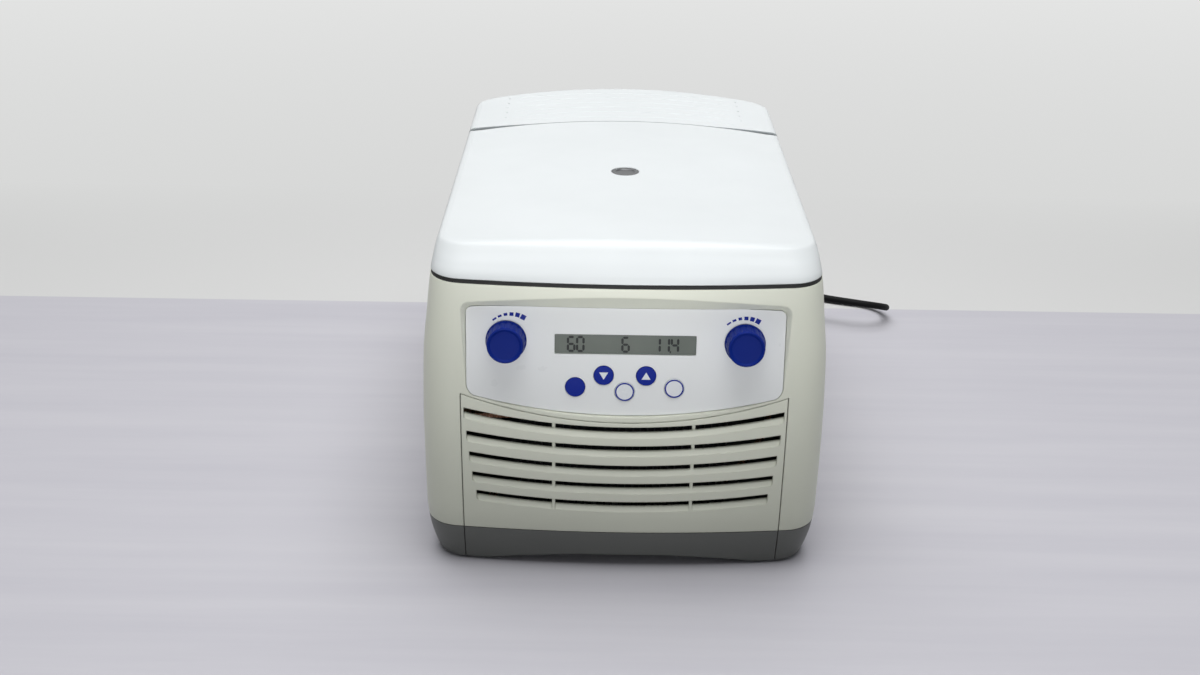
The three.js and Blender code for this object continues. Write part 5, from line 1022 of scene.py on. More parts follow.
def rear_top_cover():
    """The fixed cover behind the lid, with grooves that bow like its front seam."""
    low = CASING_TOP + SEAM
    outer = common(casing(low, HEIGHT, 0), behind(HINGE_Y))
    inner = casing(low - OVERRUN, HEIGHT - WALL, WALL)
    half_wide, depth, above = 0.95, 0.55, HEIGHT + 6
    tools = []
    for row in range(GROOVES):
        start = FIRST_GROOVE + row * GROOVE_PITCH - seam_at(GROOVE_END)
        rings = []
        # The ends are round and the floor follows the crown.
        for x in np.linspace(-GROOVE_END, GROOVE_END, 41):
            half = half_wide * math.sqrt(max(1 - (abs(x) / (GROOVE_END + 0.2)) ** 30, 0.05))
            level = top_at(x) - depth + half_wide
            under = arc(start + seam_at(x), level, half, math.pi, 2 * math.pi, 6)
            rings.append(([(x, y, z) for y, z in under], [(x, y, above) for y, _ in under]))
        tools.append(loft(rings))
        for side in SIDES if row else ():
            x, level = side * DOT_X, top_at(DOT_X) - 0.6
            dot = [(0, level), (1.0, level), (1.2, above - 1), (0, above - 1)]
            tools.append(turned(dot, 20, x, start + seam_at(x)))
    return cut(outer, inner, swept_by_lid(HALF_WIDTH + OVERRUN), *tools)


BOWL_LOW, BOWL_BEND, BOWL_RIM, SPINDLE_ROOM = 152, 14, 9, 8
ROTOR_LOW = BOWL_LOW + BOWL_WALL + 11
HUB_TOP, HUB_BORE = ROTOR_LOW + 43, 6.3
ROTOR_RADIUS, MOUTH_RADIUS, MOUTH_HEIGHT = 88, 59.0, 44.0
PLACES, BORE_RADIUS, BORE_DEPTH, BORE_TILT = 18, 5.6, 32.0, math.pi / 4


def rotor_bowl():
    under = CASING_TOP + FIT
    outer = CHAMBER_RADIUS + BOWL_WALL
    rim, centre, middle = outer + BOWL_RIM, outer - BOWL_BEND, BOWL_LOW + BOWL_BEND
    floor = BOWL_LOW + BOWL_WALL
    profile = [(SPINDLE_ROOM, BOWL_LOW), *arc(centre, middle, BOWL_BEND, -RIGHT_ANGLE, 0, 8)]
    profile += [(outer, under), (rim - 0.4, under), (rim, under + 0.4), (rim, BOWL_TOP - 0.3)]
    profile += [(rim - 0.3, BOWL_TOP), (CHAMBER_RADIUS + 0.9, BOWL_TOP)]
    profile += [(CHAMBER_RADIUS + 0.2, BOWL_TOP - 0.3), (CHAMBER_RADIUS, BOWL_TOP - 1)]
    profile += arc(centre, middle, BOWL_BEND - BOWL_WALL, 0, -RIGHT_ANGLE, 8)
    # A low bead pressed into the floor round the spindle.
    profile += [(34, floor), (32, floor + 1), (27, floor + 1), (25, floor)]
    profile += [(SPINDLE_ROOM + 1, floor), (SPINDLE_ROOM, floor - 0.2), (SPINDLE_ROOM, BOWL_LOW)]
    return on_chamber(profile, 144)


def rotor():
    mouth, hub = ROTOR_LOW + MOUTH_HEIGHT, 16
    face = (MOUTH_RADIUS - hub) * 0.31
    high, low = mouth + face, mouth - face
    outline = [
        (HUB_BORE, ROTOR_LOW), (48.4, ROTOR_LOW), (83.6, ROTOR_LOW + 8.8),
        (ROTOR_RADIUS, ROTOR_LOW + 17.6), (ROTOR_RADIUS, ROTOR_LOW + 33.44),
        (MOUTH_RADIUS + face + 3, high), (MOUTH_RADIUS + face, high), (MOUTH_RADIUS - face, low),
        (hub, low), (hub, HUB_TOP), (HUB_BORE, HUB_TOP), (HUB_BORE, ROTOR_LOW),
    ]
    # Radius and distance along the bore: a flat-bottomed hole, its round seat for a
    # tube's shoulder and a chamfered mouth.
    seat = BORE_RADIUS + 0.7
    bore = [
        (0, -BORE_DEPTH), (BORE_RADIUS - 2.5, -BORE_DEPTH), (BORE_RADIUS - 0.7, 1.6 - BORE_DEPTH),
        (BORE_RADIUS, 4 - BORE_DEPTH), (BORE_RADIUS, -0.7), (seat, 0), (seat, 0.01),
        (BORE_RADIUS + 1.5, 14), (0, 14),
    ]
    bores = []
    for place in range(PLACES):
        turn = 2 * math.pi * place / PLACES

        def along(u, v, w, turn=turn):
            # The bore's axis leans inwards as it rises.
            x = MOUTH_RADIUS + u * math.cos(BORE_TILT) - w * math.sin(BORE_TILT)
            y = CHAMBER_Y + x * math.sin(turn) + v * math.cos(turn)
            z = mouth + u * math.sin(BORE_TILT) + w * math.cos(BORE_TILT)
            return (x * math.cos(turn) - v * math.sin(turn), y, z)

        bores.append(turned(bore, 40, 0, 0, along))
    return cut(on_chamber(rounded(outline, 1.1), 144), *bores)


def rotor_nut():
    low = HUB_TOP + FIT
    top = low + 10
    half_flats, bore_radius, collar_radius = 8 * 0.98, 4.3, 11
    radius = half_flats / math.cos(math.pi / 6)
    hexagon = prism(circle(0, CHAMBER_Y, radius, 6), low + 2.6, top, from_top)
    chamfered = [(0, low + 2), (9.6, low + 2), (9.6, top - 0.8), (8.2, top), (0, top)]
    barrel = on_chamber(chamfered, ROUND)
    collar = on_chamber(rounded(disc(collar_radius, low, low + 3), 0.5), ROUND)
    bore = [(0, 0), (bore_radius, 0), (bore_radius, top - 0.6), (5, top + 0.1), (5, FAR), (0, FAR)]
    return cut(join(common(hexagon, barrel), collar), on_chamber(bore, 48))


# Front, shell and base

GRILLE_HALF, GRILLE_TOP, GRILLE_RISE = 119.5, 130, 18.6
RIB_X, RIB_HALF, RIB_REACH, LOUVRE_STEPS = 51.4, 1.2, 7.5, 36
PANEL_SAG, PANEL_TOP, PANEL_CROWN = 15.2, 82.2, 1.3
FOOT_BEND, TOP_BEND = 10, 5
RECESS_SIDE, RECESS_TOP, RECESS_LIFT, RECESS_LIP, RECESS_HALF = 9.8, 80.6, 12.3, 0.8, 105
# Height, rise towards the ends and length of each slot.
SLOT_SHARES = [
    (0.4817, 0.0433, 0.984), (0.4228, 0.0308, 0.97), (0.3597, 0.0281, 0.956),
    (0.3, 0.0228, 0.94), (0.2384, 0.0228, 0.916),
]
SLOT_HEIGHT, OPENING, BLADE_REACH, BLADE = 9.1, 4.6, 2.0, 3.0
FRONT_ZONE = CORNER + WALL - DEPTH / 2
TROUGH_INNER = seam_radius(0) + 3
LATCH_Y, LATCH_HALF, LATCH_FRONT, LATCH_BACK = -186, 9, 12, 14
BAY_Y = HINGE_Y - 8 - 2.5
PANEL_POCKET = PANEL_FOIL + FIT
REAR_HALF, REAR_LOW, REAR_TOP, REAR_LEDGE = 118, 38, 229, 6
REBATE = 1.3
ARCH_HALF, ARCH_RISE = 104, 9


def grille_outline(gap, bottom):
    half = GRILLE_HALF + gap

    def top(x):
        return GRILLE_TOP + GRILLE_RISE * (x / GRILLE_HALF) ** 2 + gap

    return [(-half, bottom), (half, bottom), *curve(top, half, -half, 40)]


def dished_outline(half, below, top, low, high, top_steps):
    """An outline with a bowed foot and a given top; low and high are its corners' radii."""
    def foot(x):
        return PANEL_SAG * (x / PANEL_HALF) ** 2 - below

    turn = half - low
    right = [
        *arc(turn, foot(turn) + low, low, -math.pi / 3, 0, 10),
        *arc(half - high, top(half) - high, high, 0, RIGHT_ANGLE, 8),
    ]
    over = curve(top, half - high, high - half, top_steps)[1:-1]
    return [*curve(foot, -turn, turn, 32), *right, *over, *mirrored(right)]


def panel_outline(offset, below):
    half = PANEL_HALF + offset

    def top(x):
        return PANEL_TOP + offset - PANEL_CROWN * (x / half) ** 2

    low, high = max(FOOT_BEND + offset, 2 * WALL), max(TOP_BEND + offset, SMALL)
    return dished_outline(half, below, top, low, high, 16)


def recess_outline(flare):
    """The recess round the panel: its floor at zero and its arched mouth at one."""
    def top(x):
        crown = (1.2 - 3.0 * flare) * (x / RECESS_HALF) ** 2
        return RECESS_TOP + RECESS_LIFT * flare + crown

    half, high = PANEL_HALF + FIT + RECESS_SIDE * flare, TOP_BEND * (1 + flare)
    return dished_outline(half, RECESS_LIP, top, FOOT_BEND + FIT, high, 32)


def front_tool(outline):
    return prism(outline, -FRONT_ZONE, FAR, from_front)


def front_skin(x, level):
    half_width, front, *_ = casing_at(level, 0)
    return -front + FRONT_BOW * (x / (half_width - CORNER)) ** 2


def lid_gap_shade_lip():
    """A black strip under the lid, drawn as a rubber lip, that is painted shade: it makes the gap show as
    a dark line.
    """
    low = CASING_TOP - REBATE + 0.1
    strip = cut(
        casing(low, LID_BOTTOM - 0.4, 0.5),
        casing(low - OVERRUN, CASING_TOP + 0.02, REBATE + 0.02),
        casing(low - OVERRUN, LID_BOTTOM + OVERRUN, WALL),
    )
    return common(strip, in_front_of(HINGE_Y - 2 * BOSS - 1))


def housing_shell():
    low, top = SKIRT_TOP + SEAM, CASING_TOP
    gap, ledge, mouth, sunk = 0.4, 6, 14, 0.12
    # A small rebate along the top edge seats the black strip of painted shade under the lid.
    outer = join(casing(low, top - REBATE, 0), casing(top - REBATE - SMALL, top, REBATE))
    pan_outline = panel_outline(8.5 + WALL, RECESS_LIP + WALL)
    pan = prism(pan_outline, -PANEL_POCKET - WALL, FAR, on_panel)
    rear_frame = slab(REAR_HALF + WALL, REAR_FACE + FIT, FAR, low - 1, REAR_TOP + WALL)
    notch = slab(FAR, HINGE_Y - TROUGH_INNER, HINGE_Y + TROUGH_INNER, HINGE_Z - OVERRUN, FAR)
    hollow = cut(casing(low - OVERRUN, top - DECK, WALL), pan, rear_frame)
    rear_bay = common(casing(top - 2 * DECK, top + OVERRUN, 2 * WALL), behind(BAY_Y))
    seat = (REAR_FACE - OVERRUN, REAR_FACE + FIT, REAR_LOW - FIT, REAR_TOP + FIT)
    return cut(
        outer,
        hollow,
        flared(recess_outline(0), recess_outline(1), -sunk, mouth, on_panel),
        prism(panel_outline(gap, gap), -PANEL_POCKET, SMALL, on_panel),
        prism(panel_outline(-ledge, -ledge), -OVERRUN, FAR, on_panel),
        front_tool(grille_outline(SEAM, 0)),
        on_chamber(disc(CHAMBER_RADIUS + BOWL_WALL + SEAM, top - 2 * DECK, FAR), FINE_ROUND),
        slab(LATCH_HALF, LATCH_Y - LATCH_FRONT, LATCH_Y + LATCH_BACK, top - 2 * DECK, FAR),
        rear_bay,
        common(hinge_round(1.4, HALF_WIDTH + OVERRUN), notch),
        slab(REAR_HALF + FIT, *seat),
        slab(
            REAR_HALF - REAR_LEDGE, REAR_FACE - OVERRUN, FAR,
            REAR_LOW + REAR_LEDGE, REAR_TOP - REAR_LEDGE,
        ),
    )


def slot_place(shares):
    middle, rise, length = shares
    half = length * GRILLE_HALF
    return half, (lambda x: HEIGHT * (middle + rise * (x / half) ** 2))


def slot_cutter(shares):
    half, upper = slot_place(shares)
    radius = SLOT_HEIGHT / 3

    def lower(x):
        return upper(x) - SLOT_HEIGHT

    turn = half - radius
    right = [*arc(turn, lower(turn) + radius, radius, -math.pi / 3, 0, 6), (half, upper(half))]
    foot = curve(lower, -turn, turn, LOUVRE_STEPS)
    return front_tool([
        *foot, *right, *curve(upper, half, -half, LOUVRE_STEPS)[1:-1], *mirrored(right),
    ])


def louvre_blade(shares):
    """A blade that slopes up and in from a rolled lip at the lower edge of its slot."""
    half, upper = slot_place(shares)
    rise = SLOT_HEIGHT - OPENING
    sunk, roll_depth, roll_half, drop_below = 0.15, 0.8, 0.95, 0.75
    roll = np.linspace(-RIGHT_ANGLE, RIGHT_ANGLE * 0.7, 7)
    rings = []
    for x, z in curve(lambda v: upper(v) - SLOT_HEIGHT, -half, half, LOUVRE_STEPS):
        lip = front_skin(x, z) + sunk
        inner = lip + 0.45 + BLADE_REACH
        nose = [
            (x, lip + roll_depth * (1 - math.cos(a)), z - drop_below + roll_half * math.sin(a))
            for a in roll
        ]
        under = [(x, y + 1.2, level - 1.0) for _, y, level in nose[:-1]]
        under += [(x, nose[-1][1] + 1.3, z - 1.4), (x, inner, z + rise - BLADE)]
        rings.append(([*nose, (x, inner, z + rise)], under))
    return loft(rings)


def front_cover():
    bottom = SKIRT_TOP + SEAM
    rib_low = slot_place(SLOT_SHARES[-1])[1](0) - SLOT_HEIGHT - WALL
    rib_high = slot_place(SLOT_SHARES[0])[1](0) + WALL
    front = front_skin(RIB_X, (rib_low + rib_high) / 2)
    back = front + BLADE_REACH + 0.5
    face = common(casing_wall(bottom, CASING_TOP), front_tool(grille_outline(0, bottom)))
    face = cut(face, *[slot_cutter(shares) for shares in SLOT_SHARES])
    blades = [louvre_blade(shares) for shares in SLOT_SHARES]
    ribs = [
        box(x - RIB_HALF, x + RIB_HALF, back, front + RIB_REACH, rib_low, rib_high)
        for x in (-RIB_X, RIB_X)
    ]
    return join(face, *blades, *ribs)


def casing_wall(low, high):
    return cut(casing(low, high, 0), casing(low - OVERRUN, high + OVERRUN, WALL))


def front_skirt():
    def arch(x):
        return SKIRT_BOTTOM + ARCH_RISE * (1 - (x / ARCH_HALF) ** 2)

    below = [(-ARCH_HALF, -OVERRUN), (ARCH_HALF, -OVERRUN)]
    opening = front_tool([*curve(arch, ARCH_HALF, -ARCH_HALF, 40), *below])
    wall = casing_wall(SKIRT_BOTTOM, SKIRT_TOP)
    return cut(common(wall, front_tool(grille_outline(0, -OVERRUN))), opening)


def posts(x, y, half_x, half_y, radius, top):
    profile = rounded(disc(radius, FLOOR_TOP - SMALL, top), 0.4)
    return [turned(profile, 24, x + sx * half_x, y + sy * half_y) for sx in SIDES for sy in SIDES]


def base_pan():
    """The base with what it carries: drive motor, condenser, fan, compressor and supply."""
    floor = join(
        cut(casing(FLOOR_BOTTOM, FLOOR_TOP, WALL - SMALL), front_tool(grille_outline(SEAM, 0))),
        casing(FLOOR_BOTTOM, FLOOR_TOP, WALL + FIT),
    )
    low = FLOOR_TOP - SMALL
    motor_low, condenser_low, fan_low, compressor_low, board_low = 22, 46, 36, 19, 20
    condenser, condenser_depth, tube, fan_half = 25 - DEPTH / 2, 11, 3.2, 10
    fan_y = condenser + condenser_depth + FIT + 2 * tube + 4 + fan_half
    compressor_foot = 54 - 6 - WALL
    return join(
        cut(casing_wall(SKIRT_BOTTOM, SKIRT_TOP), front_tool(grille_outline(SEAM, -OVERRUN))),
        floor,
        on_chamber(ring(27, 39, low, motor_low - FIT), 64),
        slab(78, condenser, condenser + condenser_depth, low, condenser_low - FIT),
        slab(50, fan_y - fan_half, fan_y + fan_half, low, fan_low - FIT),
        *posts(-66, 158, compressor_foot, compressor_foot, 6, compressor_low - FIT),
        *posts(76, 152, 47, 41, 3, board_low - FIT),
    )


# Panel pieces

KEY_TOP, KEY_END, SPINDLE_HOLE = 0.9, -9.8, 4.3
DISPLAY_S, DISPLAY_HALF_X, DISPLAY_HALF_S = 53.65, 51.0, 7.25
FACE = -1.3
# The seven bars of a digit, by its ends in units of the digit's width and half height.
BARS = {
    "a": ((0, 2), (1, 2)), "b": ((1, 1), (1, 2)), "c": ((1, 0), (1, 1)), "d": ((0, 0), (1, 0)),
    "e": ((0, 0), (0, 1)), "f": ((0, 1), (0, 2)), "g": ((0, 1), (1, 1)),
}
LIT = {"0": "abcdef", "1": "bc", "4": "bcfg", "6": "acdefg"}
# Left edge of each number on the display, and what it shows.
READINGS = ((-41.5, "60"), (-2.2, "6"), (20.2, "11.4"))
DIGIT_TALL, DIGIT_WIDE, BAR_HALF, BAR_GAP, DIGIT_SPACE = 10.4, 4.6, 0.85, 0.22, 2.0
# Middle of the first, the third and the last block of the scale over each knob.
SCALES = (
    ((-94.4, 71.6), (-86.5, 75.1), (-73.8, 73.2)),
    ((74.0, 70.8), (85.8, 74.8), (94.8, 72.7)),
)
BLOCKS = ((3.3, 1.3), (2.9, 1.6), (2.6, 2.1), (2.9, 2.7), (3.2, 3.2), (3.6, 3.7))


def control_panel():
    holes = [(side * KNOB_X, KNOB_S, SPINDLE_HOLE, 40) for side in SIDES]
    holes += [(x, s, BUTTON_RADIUS + 0.3, 64) for x, s, _ in BUTTONS.values()]
    tools = [prism(circle(*hole), -OVERRUN, OVERRUN, on_panel) for hole in holes]
    half_x, half_s = DISPLAY_HALF_X + 0.2, DISPLAY_HALF_S + 0.2
    tools.append(
        rounded_block(0, DISPLAY_S, half_x, half_s, 0.8, -OVERRUN, OVERRUN, on_panel, 5)
    )
    return cut(prism(panel_outline(0, 0), -PANEL_FOIL, 0, on_panel), *tools)


def display():
    half_x, half_s, front, back, leg_half, board_face = 55, 11.25, -3.2, -9.2, 1.5, -12.1
    leg_x, leg_s = half_x - 2 * leg_half, half_s - 2 * leg_half
    body = plain_block(0, DISPLAY_S, half_x, half_s, back, front, on_panel)
    face = (DISPLAY_HALF_X, DISPLAY_HALF_S, front - SMALL, FACE)
    window = plain_block(0, DISPLAY_S, *face, on_panel)
    leg = (leg_half, leg_half, board_face, back + SMALL)
    legs = [
        plain_block(sx * leg_x, DISPLAY_S + ss * leg_s, *leg, on_panel) for sx in SIDES for ss in SIDES
    ]
    return join(body, window, *legs)


def bar_outline(x, low, bar):
    """A pointed bar of a digit whose lower left corner is at x and low."""
    (u0, v0), (u1, v1) = BARS[bar]
    ax, bx = x + u0 * DIGIT_WIDE, x + u1 * DIGIT_WIDE
    ay, by = low + v0 * DIGIT_TALL / 2, low + v1 * DIGIT_TALL / 2
    t, flat = BAR_HALF, v0 == v1
    if flat:
        ax, bx = ax + BAR_GAP, bx - BAR_GAP
        return [(ax, ay), (ax + t, ay - t), (bx - t, ay - t), (bx, ay), (bx - t, ay + t), (ax + t, ay + t)]
    ay, by = ay + BAR_GAP, by - BAR_GAP
    return [(ax, ay), (ax + t, ay + t), (ax + t, by - t), (ax, by), (ax - t, by - t), (ax - t, ay + t)]


def display_digits():
    """Dark bars of liquid crystal, a hair in front of the display's face."""
    low = DISPLAY_S - DIGIT_TALL / 2 - 0.2
    near, far = FACE + 0.02, FACE + 0.08
    parts = []
    for x, text in READINGS:
        for mark in text:
            if mark == ".":
                left = x - DIGIT_SPACE / 2 + 0.1
                parts.append(plain_block(left, low + 0.1, 0.55, 0.75, near, far, on_panel))
                continue
            parts += [prism(bar_outline(x, low, bar), near, far, on_panel) for bar in LIT[mark]]
            x += DIGIT_WIDE + DIGIT_SPACE
    return merged(parts)


def circle_through(a, b, c):
    m = np.array([b, c]) - np.array(a)
    centre = np.array(a) + np.linalg.solve(m, 0.5 * np.sum(m * m, axis=1))
    return centre, math.dist(centre, a)


def printed_scales():
    parts = []
    for a, b, c in SCALES:
        centre, radius = circle_through(a, b, c)
        start, end = (math.atan2(p[1] - centre[1], p[0] - centre[0]) for p in (a, c))
        for k, (long, high) in enumerate(BLOCKS):
            angle = start + (end - start) * k / (len(BLOCKS) - 1)
            along = np.array([math.sin(angle), -math.cos(angle)]) * long / 2
            out = np.array([math.cos(angle), math.sin(angle)])
            middle, rise = centre + radius * out, out * high / 2
            corners = [middle + u * along + v * rise for u, v in ((-1, -1), (1, -1), (1, 1), (-1, 1))]
            parts.append(prism([tuple(p) for p in corners], 0.01, 0.05, on_panel))
    return merged(parts)


def key(name):
    x, s, _ = BUTTONS[name]
    r, bend = BUTTON_RADIUS, 0.5
    side = KEY_TOP - bend - 0.05
    stem, flange, under, over = 2.5, 8.6, -4, -2.8
    profile = [(0, KEY_END), (stem, KEY_END), (stem, under), (flange, under), (flange, over)]
    profile += [(r, over), (r, side), *arc(r - bend, side, bend, 0.3, RIGHT_ANGLE, 5)]
    profile += [(r * 0.6, KEY_TOP), (r * 0.3, KEY_TOP + 0.03), (0, KEY_TOP + 0.04)]
    return turned(profile, ROUND, x, s, on_panel)


def key_print(name):
    """The ring on a white key, or the triangle on one that steps a value."""
    x, s, _ = BUTTONS[name]
    if name in WHITE_BUTTONS:
        return turned(ring(5.9, 6.95, KEY_TOP - 0.12, KEY_TOP + 0.05), ROUND, x, s, on_panel)
    way = 1 if name == "temp_up_button" else -1
    outline = [(x - 3.3, s - way * 2.5), (x + 3.3, s - way * 2.5), (x, s + way * 3.0)]
    return prism(outline, KEY_TOP - 0.1, KEY_TOP + 0.09, on_panel)


FLUTES, PER_FLUTE = 18, 10


def knob(side):
    """A cap with notches round its side and a sunk face inside a rounded rim."""
    # Radius and height of each ring, then how deep the notches are in it.
    levels = [(0, 13.2, 0), (3.3, 13.2, 0), (3.3, 1.6, 0), (5, 1.4, 0), (5, 11.2, 0)]
    levels += [(8.6, 11.2, 0), (8.6, 1.4, 0), (14.5, 1.2, 0), (14.8, 1.5, 0), (14.8, 3.1, 0)]
    levels += [(14.65, 3.5, 0.1), (14.25, 4.0, 0.6), (14.1, 4.6, 1)]
    levels += [(14.1 - 0.75 * k / 6, 4.6 + 9.6 * k / 6, 1) for k in range(1, 7)]
    levels += [(13.3, 14.8, 0.75), (13.2, 15.2, 0.3), (13.05, 15.6, 0)]
    rim = np.linspace(0.25, RIGHT_ANGLE, 6)
    levels += [(12.3 + 0.75 * math.cos(a), 15.75 + 0.85 * math.sin(a), 0) for a in rim]
    levels += [(11.7, 16.55, 0), (11.3, 16.3, 0), (11.05, 15.95, 0), (10.8, 15.72, 0)]
    levels += [(10.3, 15.62, 0), (6, 15.55, 0), (0, 15.5, 0)]
    count = FLUTES * PER_FLUTE
    verts, faces = [], []
    for i, (radius, height, depth) in enumerate(levels):
        for k in range(count):
            phase = (k % PER_FLUTE) / PER_FLUTE - 0.5
            r = radius - 0.55 * depth * math.exp(-((phase / 0.16) ** 2))
            angle = 2 * math.pi * k / count
            u, v = r * math.cos(angle), r * math.sin(angle)
            verts.append(on_panel(side * KNOB_X + u, KNOB_S + v, height))
            if i:
                here, m = i * count, (k + 1) % count
                faces.append((here - count + k, here - count + m, here + m, here + k))
    return new_object(verts, faces, pointed=True)


def spindle(side):
    radius, back, front, chamfer = 3, -8.6, 12.7, 0.5
    profile = [
        (0, back), (radius - chamfer, back), (radius, back + chamfer), (radius, front - chamfer),
        (radius - chamfer, front), (0, front),
    ]
    return turned(profile, 40, side * KNOB_X, KNOB_S, on_panel)


# Rear pieces and feet

PLATE, VENT_HALF, VENT_RADIUS = 1.5, 27, 1.7
SWITCH_Z = INLET_Z + 35
FOOT_X, FOOT_Y = 112, 186


def rear_panel():
    """The rear panel, and apart from it the heads of its screws."""
    front, back = REAR_FACE - PLATE, REAR_FACE

    def vent(x, z):
        reach = VENT_HALF - VENT_RADIUS
        ends = [
            *arc(x + reach, z, VENT_RADIUS, -RIGHT_ANGLE, RIGHT_ANGLE, 8),
            *arc(x - reach, z, VENT_RADIUS, RIGHT_ANGLE, 3 * RIGHT_ANGLE, 8),
        ]
        return prism(ends, -back - 3, -front + 3, from_front)

    vents = [vent(x, 141.7 + row * 8.5) for row in range(7) for x in (-62, 0, 62)]
    wide, low, high = 16.3, INLET_Z - 16.3, INLET_Z + 47.3
    hole = box(INLET_X - wide, INLET_X + wide, back - OVERRUN, back + OVERRUN, low, high)
    plate = cut(slab(REAR_HALF, front, back, REAR_LOW, REAR_TOP), *vents, hole)
    radius, sunk, crown, flat = 3.4, back - 0.4, back + 1.5, 1.6
    profile = [(0, sunk), (radius, sunk), (radius, back + 1), (flat, crown), (0, crown)]
    heads = []
    for x, z in ((-108, 50), (-108, 217), (0, 217), (108, 50), (108, 217)):
        head = turned(rounded(profile, 0.4), 32, x, z, from_rear)
        cross = [
            box(x - u, x + u, back + 0.7, back + 3, z - v, z + v) for u, v in ((1.8, 0.45), (0.45, 1.8))
        ]
        heads.append(cut(head, *cross))
    return plate, merged(heads)


def mains_inlet():
    face, x, z = INLET_FACE, INLET_X, INLET_Z
    half, tall, depth, plate_wall, seat_depth = 16, 31.5, 26, 2, 9
    middle, margin, back = z + tall - half, 2, face - SOCKET_DEPTH
    body = box(x - half, x + half, face - depth, face - 1, z - half, middle + tall)
    plate = (half + margin, tall + margin, 2.5, -face, plate_wall - face)
    socket = (12.4, 8.4, 2.6, -face - 1, -back)
    seat_half, seat_tall = 9.3, 6.8
    seat = (face - seat_depth, face + 1, SWITCH_Z - seat_tall, SWITCH_Z + seat_tall)
    body = join(body, rounded_block(x, middle, *plate, from_front, 6))
    tools = [
        rounded_block(x, z, *socket, from_front, 6),
        box(x - seat_half, x + seat_half, *seat),
    ]
    pins = [
        box(x + u - 1, x + u + 1, back - SMALL, face - CONTACT_GAP, z + v - 1.5, z + v + 1.5)
        for u, v in CONTACTS
    ]
    return join(cut(body, *tools), *pins)


def power_rocker():
    face, level, reach = INLET_FACE + 2.2, SWITCH_Z, 6.2
    lean = 6.5 * math.tan(math.radians(6))
    back, edge = INLET_FACE - 4.5, INLET_FACE - 1.1
    outline = [
        (back, level - reach / 2), (edge, level - reach), (face - lean - 0.4, level - reach),
        (face - lean, level - reach + 0.4),
    ]
    outline += [
        (face - lean + 2 * lean * t**2, level - reach + 0.6 + (2 * reach - 1.2) * t)
        for t in np.linspace(0.05, 1, 12)
    ]
    outline += [(face + lean - 0.4, level + reach), (edge, level + reach), (back, level + reach / 2)]
    return prism(outline, INLET_X - 9, INLET_X + 9, from_side)


def foot(x, y):
    top = FLOOR_BOTTOM - 0.2
    return turned([(0, 0), (11.6, 0), (12.4, 0.5), (13, 1.4), (12.6, top), (0, top)], 48, x, y)


# All pieces put in their places

finished(lid_cover(), "lid", "lid_cover")
finished(sight_glass(), "lid_window", "sight_glass")
finished(lid_liner(), "lid_lining", "lid_liner")
finished(lid_seal(), "lid_gasket", "lid_seal")
finished(rear_top_cover(), "rear_cover", "rear_top_cover")
finished(housing_shell(), "casing", "housing_shell")
finished(front_cover(), "louvred_cover", "front_cover")
finished(front_skirt(), "skirt", "front_skirt")
finished(base_pan(), "base", "base_pan")
make_lead()

# A black strip of painted shade in the gap under the lid, drawn as a rubber lip.
placed(lid_gap_shade_lip(), "lid_gap_shade_lip", "housing", None, MATERIALS["rubber"])
finished(control_panel(), "panel", "control_panel", KEPT_ANGLE)
finished(display(), "display_body", "display_module")
placed(display_digits(), "display_digits", "housing", None, DIGIT_INK)
placed(printed_scales(), "knob_scales", "housing", None, MATERIALS["key_blue"])
for button_name, (_, _, body_name) in BUTTONS.items():
    finished(key(button_name), button_name.replace("button", "key"), button_name)
    if button_name != "short_button":
        ink = "key_blue" if button_name in WHITE_BUTTONS else "key_white"
        title = button_name.replace("button", "key_print")
        placed(key_print(button_name), title, body_name, None, MATERIALS[ink])
for side, knob_name in zip(SIDES, ("time", "speed")):
    finished(knob(side), knob_name + "_cap", knob_name + "_knob", KEPT_ANGLE)
    finished(spindle(side), knob_name + "_spindle", knob_name + "_shaft")

finished(rotor_bowl(), "bowl", "rotor_bowl")
finished(rotor(), "turned_rotor", "rotor")
finished(rotor_nut(), "nut", "rotor_nut")

sheet, screw_heads = rear_panel()
finished(sheet, "rear_sheet", "rear_panel")
placed(screw_heads, "rear_screws", "housing", None, MATERIALS["steel"])
finished(mains_inlet(), "inlet", "mains_inlet")
finished(power_rocker(), "rocker", "power_switch")
for row_name, row in zip(("front", "rear"), SIDES):
    for side_name, side in zip(("left", "right"), SIDES):
        foot_name = row_name + "_" + side_name
        finished(foot(side * FOOT_X, row * FOOT_Y), foot_name + "_foot", "foot_" + foot_name)

# Floor, backdrop and light, in metres

TABLE_DARK, TABLE_LIGHT = (0.525, 0.517, 0.565), (0.575, 0.567, 0.608)
FAR_FLOOR = (0.66, 0.66, 0.655)
BOUNCE = (0.28, 0.28, 0.28)
BACKDROP_NEAR, BACKDROP_FAR = (0.67, 0.675, 0.67), (0.775, 0.78, 0.775)
WORLD_LIGHT = 0.2


def maths(tree, operation, first, second):
    return new_node(tree, "Math", {0: first, 1: second}, operation=operation).outputs[0]


def mixed_shader(tree, factor, first, second):
    return new_node(tree, "MixShader", {0: factor, 1: first, 2: second}).outputs[0]


def seen_directly(tree):
    """One for rays from the camera, from gloss and through glass, else zero."""
    rays = new_node(tree, "LightPath", {}).outputs
    shiny = maths(tree, "MAXIMUM", rays["Is Camera Ray"], rays["Is Glossy Ray"])
    return maths(tree, "MAXIMUM", shiny, rays["Is Transmission Ray"])


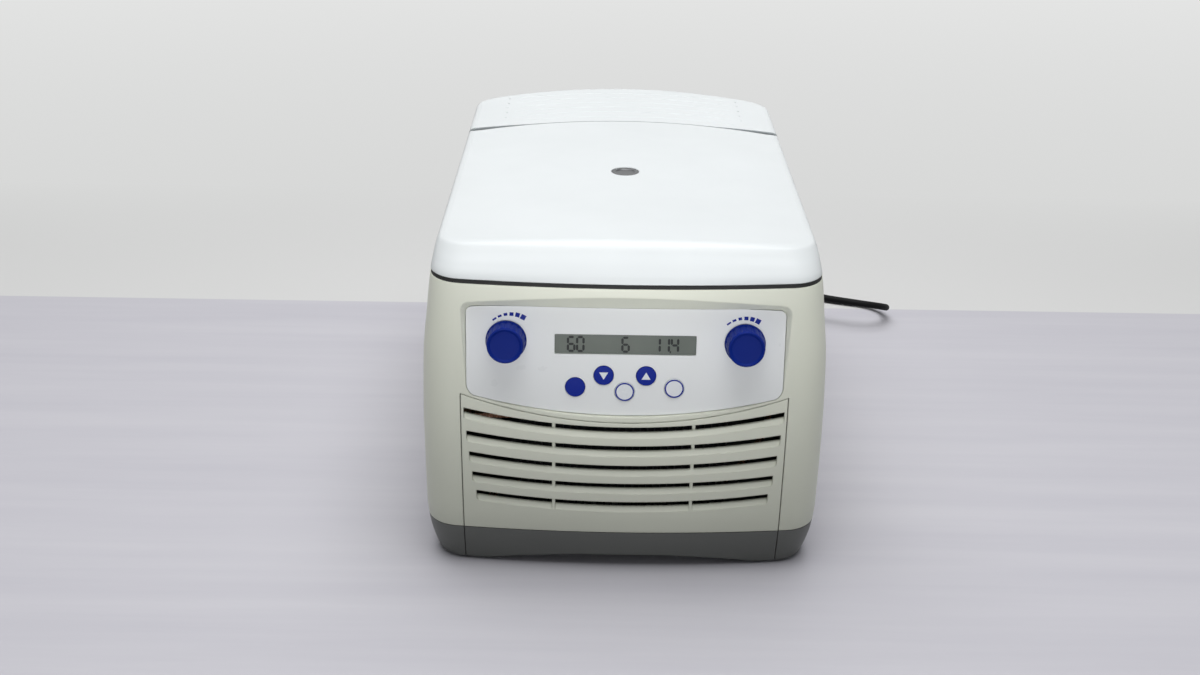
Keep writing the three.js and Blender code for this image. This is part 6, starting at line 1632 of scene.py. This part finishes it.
def floor_material():
    """A worktop with a straight rear edge and a paler floor behind it.

    Far from the object the floor glows as bright as the lamps make it near by.
    """
    m, tree, shader = new_material("pale_floor")
    place = object_place(tree)
    back = new_node(tree, "SeparateXYZ", {0: place}).outputs[1]
    distance = new_node(tree, "VectorMath", {0: place}, operation="LENGTH").outputs["Value"]
    past = ranged(tree, back, 0, 1, 0.3055, 0.3075)
    streaks = noise(tree, 5, 5, 0.6, (0.35, 6, 1))
    top = mixed(tree, ranged(tree, streaks, 0, 1, 0.3, 0.7), TABLE_DARK, TABLE_LIGHT)
    seen = seen_directly(tree)
    fill(tree, shader, {
        "Base Color": mixed(tree, seen, BOUNCE, mixed(tree, past, top, FAR_FLOOR)),
        "Roughness": 0.62,
        "Specular IOR Level": 0.25,
    })
    bumped(tree, shader, streaks, 0.0002, 0.2)
    depth = ranged(tree, back, 0, 1, 0.45, 2.1)
    backdrop = mixed(tree, depth, BACKDROP_NEAR, BACKDROP_FAR)
    glow = new_node(tree, "Emission", {0: mixed(tree, past, top, backdrop)})
    behind_object = ranged(tree, back, 0, 1, 0.40, 0.70)
    far_away = ranged(tree, distance, 0, 1, 0.7, 1.5)
    share = maths(tree, "MULTIPLY", seen, maths(tree, "MAXIMUM", behind_object, far_away))
    surface = next(node for node in tree.nodes if node.type == "OUTPUT_MATERIAL")
    both = mixed_shader(tree, share, shader.outputs[0], glow.outputs[0])
    fill(tree, surface, {"Surface": both})
    return m


def make_stage():
    mesh = bpy.data.meshes.new("floor")
    mesh.from_pydata([(-6, -6, 0), (6, -6, 0), (6, 8, 0), (-6, 8, 0)], [], [(0, 1, 2, 3)])
    mesh.materials.append(floor_material())
    floor = bpy.data.objects.new("floor", mesh)
    scene.collection.objects.link(floor)
    world = bpy.data.worlds.new("studio")
    scene.world = world
    world.use_nodes = True
    tree = world.node_tree
    tree.nodes.clear()
    soft = new_node(tree, "Background", {0: (0.96, 0.98, 1.0), 1: WORLD_LIGHT})
    pale = new_node(tree, "Background", {0: BACKDROP_FAR, 1: 1.0})
    both = mixed_shader(tree, seen_directly(tree), soft.outputs[0], pale.outputs[0])
    new_node(tree, "OutputWorld", {"Surface": both})


def make_lamp(name, place, target, size, power, spread=180):
    data = bpy.data.lights.new(name, "AREA")
    data.shape = "SQUARE"
    data.spread = math.radians(spread)
    data.size = size
    data.energy = power
    o = bpy.data.objects.new(name, data)
    scene.collection.objects.link(o)
    o.location = place
    o.rotation_mode = "QUATERNION"
    o.rotation_quaternion = (Vector(target) - Vector(place)).to_track_quat("-Z", "Y")


make_stage()
make_lamp("overhead", (-0.1, 0.35, 2.3), (0, 0.05, 0), 2.2, 33)
make_lamp("steep", (0.1, -0.45, 2.4), (0, -0.05, 0), 1.6, 27)
make_lamp("front_screen", (0, -1.5, 0.45), (0, -0.2, 0.36), 0.35, 0.34, spread=24)

scene.view_settings.view_transform = "Standard"
